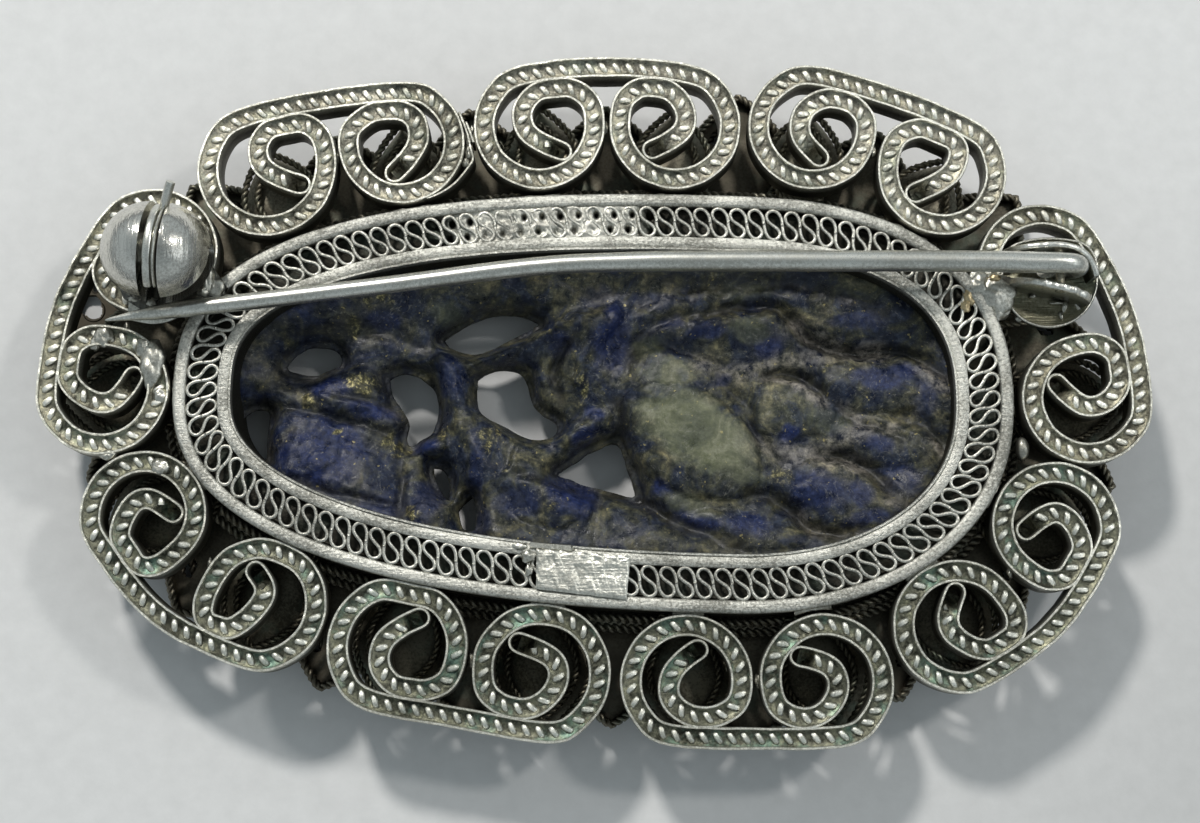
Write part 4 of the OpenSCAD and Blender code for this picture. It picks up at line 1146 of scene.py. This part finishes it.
    # darker in the carved grooves, on the hole walls and low-lying parts, and towards the left and lower edges
    col = mix_col(nt, math_node(nt, "MULTIPLY", attr("deep"), 0.92, True), col, (0.020, 0.019, 0.015))
    nt.links.new(col, bs.inputs["Base Color"])
    met = math_node(nt, "MULTIPLY", math_node(nt, "MAXIMUM", kg, kf), 0.45, True)
    nt.links.new(met, bs.inputs["Metallic"])
    rr = nt.nodes.new("ShaderNodeMapRange")
    nt.links.new(cloud2.outputs["Fac"], rr.inputs["Value"])
    rr.inputs["From Min"].default_value = 0.35
    rr.inputs["From Max"].default_value = 0.65
    rr.inputs["To Min"].default_value = 0.24
    rr.inputs["To Max"].default_value = 0.58
    bs.inputs["Specular IOR Level"].default_value = 0.28
    nt.links.new(rr.outputs[0], bs.inputs["Roughness"])
    bn = nt.nodes.new("ShaderNodeBump")
    bn.inputs["Strength"].default_value = 0.5
    bn.inputs["Distance"].default_value = 0.00008
    hh = math_node(nt, "ADD", cloud2.outputs["Fac"], math_node(nt, "MULTIPLY", speck.outputs["Fac"], 0.4))
    nt.links.new(hh, bn.inputs["Height"])
    nt.links.new(bn.outputs[0], bs.inputs["Normal"])
    return m


mat_stone = lapis("lapis_stone")
sv, sf = build_stone()
b = Build()
b.add(sv, sf)
stone = b.object("carved_stone", mat_stone, slot="lapis", sharp=None, replaces=("stone",))
gx, gy = sv[:, 0], sv[:, 1]
masks = {"blue": patch_mask(gx, gy, BLUE), "pale": patch_mask(gx, gy, PALE), "gold": patch_mask(gx, gy, GOLD)}
vein_k = np.zeros(len(gx))
vw = fbm_grid(gx, gy, 1.4, 4, 41.0)
for pts, w, s in VEIN:
    d, t = dist_line(smooth_line(pts), gx + 0.3 * vw, gy + 0.3 * np.roll(vw, 3))
    vein_k = np.maximum(vein_k, s * np.exp(-(d / w) ** 2))
masks["vein"] = vein_k
# darkening mask: carved grooves, hole walls and low parts of the carving, plus the left and lower edges of the stone
deep = np.zeros(len(gx))
for pts, w, h in GROOVES:
    d, t = dist_line(smooth_line(pts), gx, gy)
    deep = np.maximum(deep, min(1.0, h * 1.7) * np.exp(-(d / (w * 0.95)) ** 2))
deep = np.maximum(deep, 0.9 * (1 - smooth_step(sv[:, 2], 1.6, 3.0)) * (sv[:, 2] > 1.2))
masks["deep"] = deep * (0.7 + 0.5 * vw) + 0.06 * smooth_step(-gx, 8.5, 13.5) + 0.10 * smooth_step(-gy, 2.5, 5.5)
masks["blue"] = masks["blue"] + 0.36 * smooth_step(-gx, 8.5, 11.5) * (0.6 + 0.8 * vw) * (1 - np.clip(masks["gold"], 0, 1))
front_side = sv[:, 2] < 1.8
for k_, v_ in masks.items():
    if k_ == "deep":
        v_ = np.where(front_side, 0.25 * (1 + vw), v_)
    at_ = stone.data.attributes.new(k_, "FLOAT", "POINT")
    at_.data.foreach_set("value", np.clip(v_, 0, 1.5).astype(np.float32))


for node, mat in (("catch_ball", mat_ball),):
    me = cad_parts[node].data
    me.materials.clear()
    me.materials.append(mat)


# ---------------------------------------------------------------- hinge
def at_px(x, y, z):
    q = from_px(x, y, z)
    return V(q[0], q[1], z)


# dished base plate in the scroll's loop
PLATE = [(1003, 258), (1002, 280), (1008, 302), (1022, 319), (1044, 327), (1066, 324), (1083, 313), (1094, 295), (1097, 275), (1094, 256), (1080, 243),
         (1045, 239), (1015, 245)]
edge = np.array([at_px(x, y, 5.2) for x, y in PLATE])
edge = resample(catmull(list(np.vstack([edge, edge[:1]])), 6)[:-1], 0.16, True)
mid_p = at_px(1050, 288, 5.2)
mid_p[2] = 0
edge[:, 2] = 0
b = Build()
rows = []
R_N = 22
for i in range(R_N + 1):
    q = i / R_N
    ring = []
    for e in edge:
        w = mid_p + (e - mid_p) * max(q, 0.004)
        z = 4.80 + 0.36 * q ** 3 + 0.03 * nz(w[0] * 1.3, w[1] * 1.3, 2.0) + 0.012 * nz(w[0] * 5, w[1] * 5, 4.0)
        ring.append((w[0], w[1], z))
    rows.append(ring)
for i in (R_N, R_N - 2, 0):
    rows.append([(x, y, z - 0.28) for x, y, z in rows[i]])
m_ = len(edge)
f = ring_faces(len(rows), m_, False, True)
b.add(np.array(rows).reshape(-1, 3), f)
b.object("hinge_plate", mat_dish, sharp=None)
# rim wire of the plate and a few burrs left by the soldering
b = Build()
low = [e for e in edge]
rim_w = np.array([(e[0], e[1], 5.24 + 0.03 * nz(e[0], e[1], 1.0)) for e in low])
tube(b, rim_w, 0.075, 8, True)
for x, y, l, wd, tn, h in ((1056, 295, .55, .13, 4, .22), (1057, 303, .40, .10, 0, .16), (1065, 306, .16, .42, -14, .22), (1061, 316, .13, .28, 12, .2),
                           (1077, 306, .13, .40, 30, .22), (1087, 300, .25, .16, -20, .2), (1020, 318, .3, .2, 20, .15), (1033, 296, .2, .12, 10, .12)):
    c = at_px(x, y, 5.0)
    k = Build()
    lump(k, (0, 0, 0), (l, wd, h), x * 0.37, 0.25, 8, 14)
    v = np.vstack(k.v)
    ca, sa = cd(tn), sd(tn)
    v = np.stack([v[:, 0] * ca - v[:, 1] * sa + c[0], v[:, 0] * sa + v[:, 1] * ca + c[1], v[:, 2] + 4.93], 1)
    b.add(v, k.f)
b.object("hinge_plate_rim", mat_solder, sharp=None)


def upright(b, pts, thick, z0, seed, bumps=0.0):
    """A strip standing on edge. pts are (x, y, top) in mm."""
    q = catmull([V(*a) for a in pts], 8)
    q = resample(q, 0.09)
    n = normals_2d(q[:, :2], False)
    rows = []
    for i, (w, m_) in enumerate(zip(q, n)):
        h = thick / 2 * (1 + 0.12 * nz(w[0] * 1.6, w[1] * 1.6, seed))
        t = w[2] + 0.02 * nz(w[0] * 2.2, w[1] * 2.2, seed + 3) + bumps * nz(w[0] * 2.6, w[1] * 2.6, seed + 7)
        zb = min(z0, t - 0.3)
        prof = [(-h, zb), (h, zb), (h, t - 0.16), (h * 0.86, t - 0.05), (h * 0.45, t), (-h * 0.45, t), (-h * 0.86, t - 0.05), (-h, t - 0.16)]
        rows.append([(w[0] + m_[0] * a, w[1] + m_[1] * a, z) for a, z in prof])
    k = len(rows[0])
    f = ring_faces(len(rows), k, False, True)
    f.append(tuple(range(k)))
    f.append(tuple(range((len(rows) - 1) * k, len(rows) * k))[::-1])
    b.add(np.array(rows).reshape(-1, 3), f)


b = Build()
upright(b, [tuple(at_px(x, y, z)) for x, y, z in ((1005, 252, 5.7), (1012, 249, 6.3), (1022, 247, 6.9), (1034, 245.5, 7.25), (1046, 244.5, 7.4), (1058, 244, 7.45),
                                                  (1070, 245.5, 7.4), (1081, 249.5, 7.25), (1089.5, 257, 7.05), (1094.5, 266, 6.8), (1097, 276, 6.6))], 0.32, 4.9, 1.0, 0.05)
b.object("hinge_ear_far", mat_ear, replaces=("hinge_bracket",), sharp=50)
b = Build()
upright(b, [tuple(at_px(x, y, z)) for x, y, z in ((1011, 281, 5.8), (1020, 280, 6.4), (1032, 280.5, 6.9), (1046, 282.5, 7.1), (1060, 285.5, 7.1), (1073, 289, 7.0),
                                                  (1084, 293.5, 6.75), (1091, 299, 6.3))], 0.40, 4.9, 5.0, 0.16)
b.object("hinge_ear_near", mat_ear, sharp=50)
b = Build()
ys = np.array([5.02, 5.04, 5.10, 5.20, 5.24, 7.44, 7.48, 7.58, 7.64, 7.66])
rs = np.array([0.02, 0.18, 0.28, 0.30, 0.22, 0.22, 0.30, 0.28, 0.18, 0.02])
tube(b, [(23.4, y, 6.75) for y in ys], rs, 20)
b.object("hinge_cross_pin", mat_front, replaces=("hinge_rivet",), sharp=40)
# solder between the hinge and the band
b = Build()
lump(b, (20.45, 5.35, 5.22), (1.10, 1.05, 0.55), 3.1, 0.16, 22, 34)
lump(b, (19.62, 5.75, 5.38), (0.62, 0.75, 0.30), 7.7, 0.30, 14, 22)
lump(b, (20.45, 4.6, 5.18), (0.75, 0.75, 0.26), 9.4, 0.24, 14, 22)
lump(b, (21.1, 6.9, 5.15), (0.6, 0.5, 0.3), 5.2, 0.3, 12, 18)
b.object("hinge_solder", mat_solder, sharp=None)
b = Build()
lump(b, (19.10, 5.15, 5.42), (0.34, 0.42, 0.16), 2.2, 0.5, 12, 18)
lump(b, (18.85, 4.65, 5.42), (0.26, 0.30, 0.12), 4.2, 0.5, 12, 18)
lump(b, (20.35, 6.05, 5.72), (0.30, 0.16, 0.16), 6.2, 0.4, 12, 18)
b.object("hinge_solder_stained", mat_stain, sharp=None)


# ---------------------------------------------------------------- ball catch
RING_C, YAW = V(-21.63034, 6.91216, 7.6), -5.0


def catch_place(v):
    """From the catch's own axes (x along its axis) to the brooch's."""
    v = np.asarray(v, float)
    return np.stack([v[:, 0] * cd(YAW) - v[:, 1] * sd(YAW) + RING_C[0], v[:, 0] * sd(YAW) + v[:, 1] * cd(YAW) + RING_C[1], v[:, 2] + RING_C[2]], 1)


b = Build()
PROF = [(-0.27, 1.05), (-0.27, 2.26), (-0.24, 2.35), (-0.17, 2.385), (0.04, 2.385), (0.10, 2.35), (0.12, 2.26), (0.135, 2.06), (0.185, 2.06),
        (0.20, 2.24), (0.225, 2.33), (0.28, 2.36), (0.33, 2.33), (0.36, 2.24), (0.36, 1.05)]
rows = []
angles = np.arange(-25, 150.1, 2.5)
for t in angles:
    k = 1 + 0.003 * nz(t * 0.06, 1.0, 2.0)
    rows.append([(x + 0.012 * nz(t * 0.05, x, 5.0), r * k * cd(t), r * k * sd(t)) for x, r in PROF])
k = len(PROF)
f = ring_faces(len(rows), k, False, True)
f.append(tuple(range(k)))
f.append(tuple(range((len(rows) - 1) * k, len(rows) * k))[::-1])
b.add(catch_place(np.array(rows).reshape(-1, 3)), f)
lev = catmull([V(0.22, 1.75, 0.95), V(0.27, 2.08, 1.13), V(0.36, 2.44, 1.33), V(0.46, 2.82, 1.52), V(0.56, 3.14, 1.68), V(0.585, 3.22, 1.72)], 5)
lr = np.interp(np.linspace(0, 1, len(lev)), [0, 0.1, 0.75, 0.93, 1.0], [0.20, 0.22, 0.235, 0.215, 0.06])
k = Build()
tube(k, lev, lr, 16, squeeze=1.25)
b.add(catch_place(np.vstack(k.v)), k.f)
b.object("catch_ring_body", mat_pin, body="catch_ring", slot="bright_silver", sharp=45, replaces=("catch_rotor",))
# solder and sheet round the catch's foot
b = Build()
for x, y, z, rx, ry, rz, sd_ in ((207, 279, 6.12, .36, .72, .22, 1.2), (214, 288, 6.08, .55, .42, .14, 3.3), (203, 291, 6.15, .3, .25, .2, 4.4), (146, 301, 5.92, .5, .20, .15, 5.5),
                                 (151, 303, 6.05, .24, .20, .14, 6.5), (133, 299, 5.95, .3, .22, .2, 7.5)):
    c = from_px(x, y, z)
    lump(b, (c[0], c[1], z), (rx, ry, rz), sd_, 0.35, 12, 18)
b.object("catch_solder", mat_solder, sharp=None)
b = Build()
top_e = np.array([at_px(x, y, 6.02) for x, y in ((128, 319.5), (138, 321.5), (150, 323.5), (160, 323), (170, 320.5), (182, 315))])
top_e = catmull(list(top_e), 5)
rows = []
for i, q in enumerate(top_e):
    rows.append([(q[0], q[1], 5.86), (q[0], q[1], 6.0), (q[0], q[1] + 0.05, 6.04), (q[0], q[1] + 0.9, 6.04), (q[0], q[1] + 0.9, 5.86)])
f = ring_faces(len(rows), 5, False, True) + [tuple(range(5)), tuple(range((len(rows) - 1) * 5, len(rows) * 5))[::-1]]
b.add(np.array(rows).reshape(-1, 3), f)
b.object("catch_sheet", mat_plate)


# ---------------------------------------------------------------- small plate on the band, left bare
b = Build()
ca_, cb_, cc_, cd_ = (at_px(x, y, 5.74) for x, y in ((536.5, 548.5), (630.5, 556), (626.5, 599.5), (536, 589)))
NU, NV = 92, 44
rows = []
for i in range(NU + 1):
    u = i / NU
    row = []
    for j in range(NV + 1):
        v = j / NV
        q = (ca_ * (1 - u) + cb_ * u) * (1 - v) + (cd_ * (1 - u) + cc_ * u) * v
        e = min(u * 4.68, (1 - u) * 4.68, v * 2.05, (1 - v) * 2.05)
        x, y = q[0], q[1]
        z = 5.745 - 0.07 * math.exp(-(e / 0.07) ** 2)
        z += 0.030 * nz(x * 3.1 + y * 0.9, y * 0.8, 3.0) + 0.022 * nz(x * 7.0 + 2 * y, y * 1.6, 5.0) + 0.014 * nz(x * 12, y * 12, 7.0)
        z -= 0.035 * smooth_step(nz(x * 1.1, y * 1.3, 9.0), 0.05, 0.35)
        if 0.02 < v < 0.12:
            z += 0.02 * math.sin(u * 40)
        row.append((x + 0.015 * nz(y * 3, u * 9, 1.0) * (e < 0.02), y + 0.015 * nz(x * 3, v * 9, 2.0) * (e < 0.02), z))
    rows.append(row)
top = np.array(rows)
b.add(top.reshape(-1, 3), ring_faces(NU + 1, NV + 1, False, False))
loop = [top[i][0] for i in range(NU)] + [top[NU][j] for j in range(NV)] + [top[i][NV] for i in range(NU, 0, -1)] + [top[0][j] for j in range(NV, 0, -1)]
loop = np.array(loop)
low = loop.copy()
low[:, 2] = 5.50
b.add(np.vstack([loop, low]), ring_faces(2, len(loop), False, True))
b.object("band_patch", mat_plate, replaces=("mark_plate",), sharp=55)
b = Build()
q = catmull([at_px(530, 544.5, 5.7), at_px(545, 546, 5.7), at_px(558, 547, 5.7), at_px(571, 548, 5.7)], 8)
sweep(b, q[:, :2], [(-0.17, 5.45), (0.17, 5.45), (0.17, 5.66), (0.12, 5.73), (-0.12, 5.73), (-0.17, 5.66)], False, [0.06 * nz(w[0] * 4, w[1] * 4, 2.0) for w in q])
for x, y, rx, ry, rz in ((520, 546, .35, .2, .12), (529, 556, .4, .32, .12), (571, 549, .2, .16, .18), (529, 570, .22, .3, .1)):
    c = from_px(x, y, 5.5)
    lump(b, (c[0], c[1], 5.5), (rx, ry, rz + 0.08), x * 0.11, 0.35, 10, 16)
b.object("band_patch_solder", mat_solder, sharp=45)


# ---------------------------------------------------------------- solder and the loose bead
b = Build()
BLOBS = [(152, 364, 5.12, .62, 1.15, .34), (143, 348, 5.1, .4, .5, .25), (103, 337, 5.12, .48, .55, .25), (160, 467, 5.16, .45, .42, .2), (108, 455, 5.1, .4, .25, .16),
         (160, 395, 5.1, .35, .4, .16), (95, 343, 5.08, .25, .4, .16)]
for x, y, z, rx, ry, rz in BLOBS:
    c = from_px(x, y, z)
    lump(b, (c[0], c[1], z), (rx, ry, rz), x * 0.07 + y * 0.03, 0.32, 14, 22)
for x, y, rx, ry in ((469, 140, .16, .34), (469, 152, .20, .40), (466, 163, .22, .26), (472, 130, .10, .26)):
    c = from_px(x, y, 5.0)
    lump(b, (c[0], c[1], 4.98), (rx, ry, 0.15), x * 0.3 + y, 0.45, 10, 16)
# where the scrolls touch the band and one another
for i in range(18):
    o = V(CURLS[i][0], CURLS[i][1])
    f_, d = foot_on(o, BASE)
    u_ = unit(o - f_)
    place = f_ + 0.06 * u_
    side_ = left(u_) * 0.25 * nz(i * 1.9, 2.0, 3.0)
    if i not in (6, 17):
        # a thin web of solder fills the wedge on both sides of the contact
        along_, rows = left(u_), []
        for a_ in range(25):
            t_ = -1 + 2 * a_ / 24
            half = 0.85 + 0.25 * nz(i * 1.7, 0.4, 2.0)
            d_ = t_ * half
            gap_ = 0.06 + d_ * d_ * 0.19 + 0.05 * nz(i * 3.1, d_ * 3, 1.0)
            e_, n_ = foot_on(f_ + along_ * d_, BASE)[0], u_
            rows.append([(e_[0] + n_[0] * q, e_[1] + n_[1] * q, z - 0.30 * abs(t_) ** 3 + 0.05 * nz(e_[0] * 4, e_[1] * 4, q * 3 + i))
                         for q, z in ((-0.10, 4.6), (-0.10, 5.22), (0.0, 5.20), (gap_ * 0.5, 5.12), (gap_, 5.14), (gap_ + 0.05, 4.6))])
        k_ = len(rows[0])
        b.add(np.array(rows).reshape(-1, 3), ring_faces(len(rows), k_, False, True) + [tuple(range(k_)), tuple(range((len(rows) - 1) * k_, len(rows) * k_))[::-1]])
    p_, q_ = V(CURLS[i][0], CURLS[i][1]), V(CURLS[(i + 1) % 18][0], CURLS[(i + 1) % 18][1])
    if i % 2 == 0 and i != 6:
        m_ = p_ + unit(q_ - p_) * (CURLS[i][2] - 0.0)
        lump(b, (m_[0], m_[1], 4.72), (0.16, 0.34, 0.16), i * 2.3 + 1, 0.45, 10, 16)
b.object("solder_drops", mat_solder, sharp=None)
b = Build()
c = from_px(1022, 449, 4.75)
lump(b, (c[0], c[1], 4.72), (0.36, 0.62, 0.46), 8.8, 0.06, 18, 26)
b.object("loose_bead", mat_solder, sharp=None)


# ---------------------------------------------------------------- pin
STEM = [(22.80, 6.40, 6.35), (22.95, 6.40, 6.12), (23.40, 6.40, 6.02), (23.90, 6.40, 6.08), (24.24, 6.38, 6.38), (24.34, 6.38, 6.80),
        (24.14, 6.39, 7.20), (23.75, 6.40, 7.40), (23.1, 6.42, 7.45), (22.0, 6.43, 7.45),
        (20.04, 6.48, 7.43), (16.2, 6.50, 7.43), (12.41, 6.50, 7.43), (7.2, 6.50, 7.43), (2.08, 6.46, 7.43), (-3.01, 6.22, 7.38),
        (-10.63, 5.30, 7.15), (-17.58, 4.50, 6.95), (-21.54, 4.06, 6.80), (-24.41, 3.65, 6.68)]
line = resample(catmull([V(*q) for q in STEM], 10), 0.14)
rad = np.interp(line[:, 0], [-24.41, -24.2, -22.0, -20.5, -8.0, 1.0, 4.0, 22.0, 25.0], [0.03, 0.09, 0.36, 0.42, 0.44, 0.49, 0.53, 0.54, 0.50])
rad = rad * np.array([1 + 0.018 * nz(q[0] * 0.8, 3.3, 1.0) for q in line])
b = Build()
tube(b, line, rad, 24)
b.object("pin_wire", mat_pin, body="pin", slot="bright_silver", sharp=60, replaces=("pin_stem",))


# ---------------------------------------------------------------- floor and light
def ground():
    m, nt, bs = node_mat("pale_ground_with_painted_shade")
    tc = nt.nodes.new("ShaderNodeTexCoord")
    a = tex(nt, "ShaderNodeTexNoise", tc.outputs["Object"], 900.0, 4.0, 0.6)
    c1 = ramp(nt, a.outputs["Fac"], [(0.3, (0.640, 0.643, 0.638)), (0.7, (0.690, 0.693, 0.688))])
    # painted shade: the floor's colour darkens towards the lower right, where the light falls off
    dn = nt.nodes.new("ShaderNodeVectorMath")
    dn.operation = "DOT_PRODUCT"
    nt.links.new(tc.outputs["Object"], dn.inputs[0])
    dn.inputs[1].default_value = (0.816, -0.579, 0.0)
    mr = nt.nodes.new("ShaderNodeMapRange")
    mr.clamp = True
    mr.interpolation_type = "SMOOTHSTEP"
    nt.links.new(dn.outputs["Value"], mr.inputs["Value"])
    mr.inputs["From Min"].default_value = 0.013
    mr.inputs["From Max"].default_value = 0.046
    mr.inputs["To Min"].default_value = 1.0
    mr.inputs["To Max"].default_value = 0.77
    grey = mr.outputs[0]
    shade = nt.nodes.new("ShaderNodeCombineColor")
    for k in range(3):
        nt.links.new(grey, shade.inputs[k])
    nt.links.new(mix_col(nt, 1.0, c1.outputs["Color"], shade.outputs[0], "MULTIPLY"), bs.inputs["Base Color"])
    bs.inputs["Roughness"].default_value = 0.75
    bn = nt.nodes.new("ShaderNodeBump")
    bn.inputs["Strength"].default_value = 0.15
    bn.inputs["Distance"].default_value = 0.0001
    nt.links.new(a.outputs["Fac"], bn.inputs["Height"])
    nt.links.new(bn.outputs[0], bs.inputs["Normal"])
    return m


me = bpy.data.meshes.new("floor")
me.from_pydata([(-1.2, -1.2, -0.00002), (1.2, -1.2, -0.00002), (1.2, 1.2, -0.00002), (-1.2, 1.2, -0.00002)], [], [(0, 1, 2, 3)])
me.materials.append(ground())
floor = bpy.data.objects.new("floor", me)
scene.collection.objects.link(floor)


def area(name, place, power, size, colour=(1, 1, 1)):
    d = bpy.data.lights.new(name, "AREA")
    d.shape = "DISK"
    d.size = size
    d.energy = power
    d.color = colour
    o = bpy.data.objects.new(name, d)
    scene.collection.objects.link(o)
    o.location = place
    o.rotation_euler = (Vector((0, 0, 0.003)) - o.location).to_track_quat("-Z", "Y").to_euler()
    return o


area("key", (-0.094, 0.218, 0.257), 0.79, 0.040, (1.0, 0.970, 0.932))
area("second", (0.186, 0.106, 0.276), 0.24, 0.036, (1.0, 0.98, 0.95))
area("fill", (0.30, -0.05, 0.30), 0.10, 0.22, (0.93, 0.97, 1.0))

world = bpy.data.worlds.new("world")
scene.world = world
world.use_nodes = True
nt = world.node_tree
bg = nt.nodes["Background"]
tc = nt.nodes.new("ShaderNodeTexCoord")
sep = nt.nodes.new("ShaderNodeSeparateXYZ")
nt.links.new(tc.outputs["Generated"], sep.inputs[0])
cr = ramp(nt, sep.outputs["Z"], [(0.0, (0.094, 0.105, 0.11)), (0.35, (0.396, 0.44, 0.46)), (0.75, (0.282, 0.322, 0.34)), (1.0, (0.188, 0.216, 0.23))])
nt.links.new(cr.outputs["Color"], bg.inputs["Color"])
bg.inputs["Strength"].default_value = 1.12

scene.view_settings.view_transform = "Standard"
scene.view_settings.look = "None"
scene.view_settings.exposure = 0.0
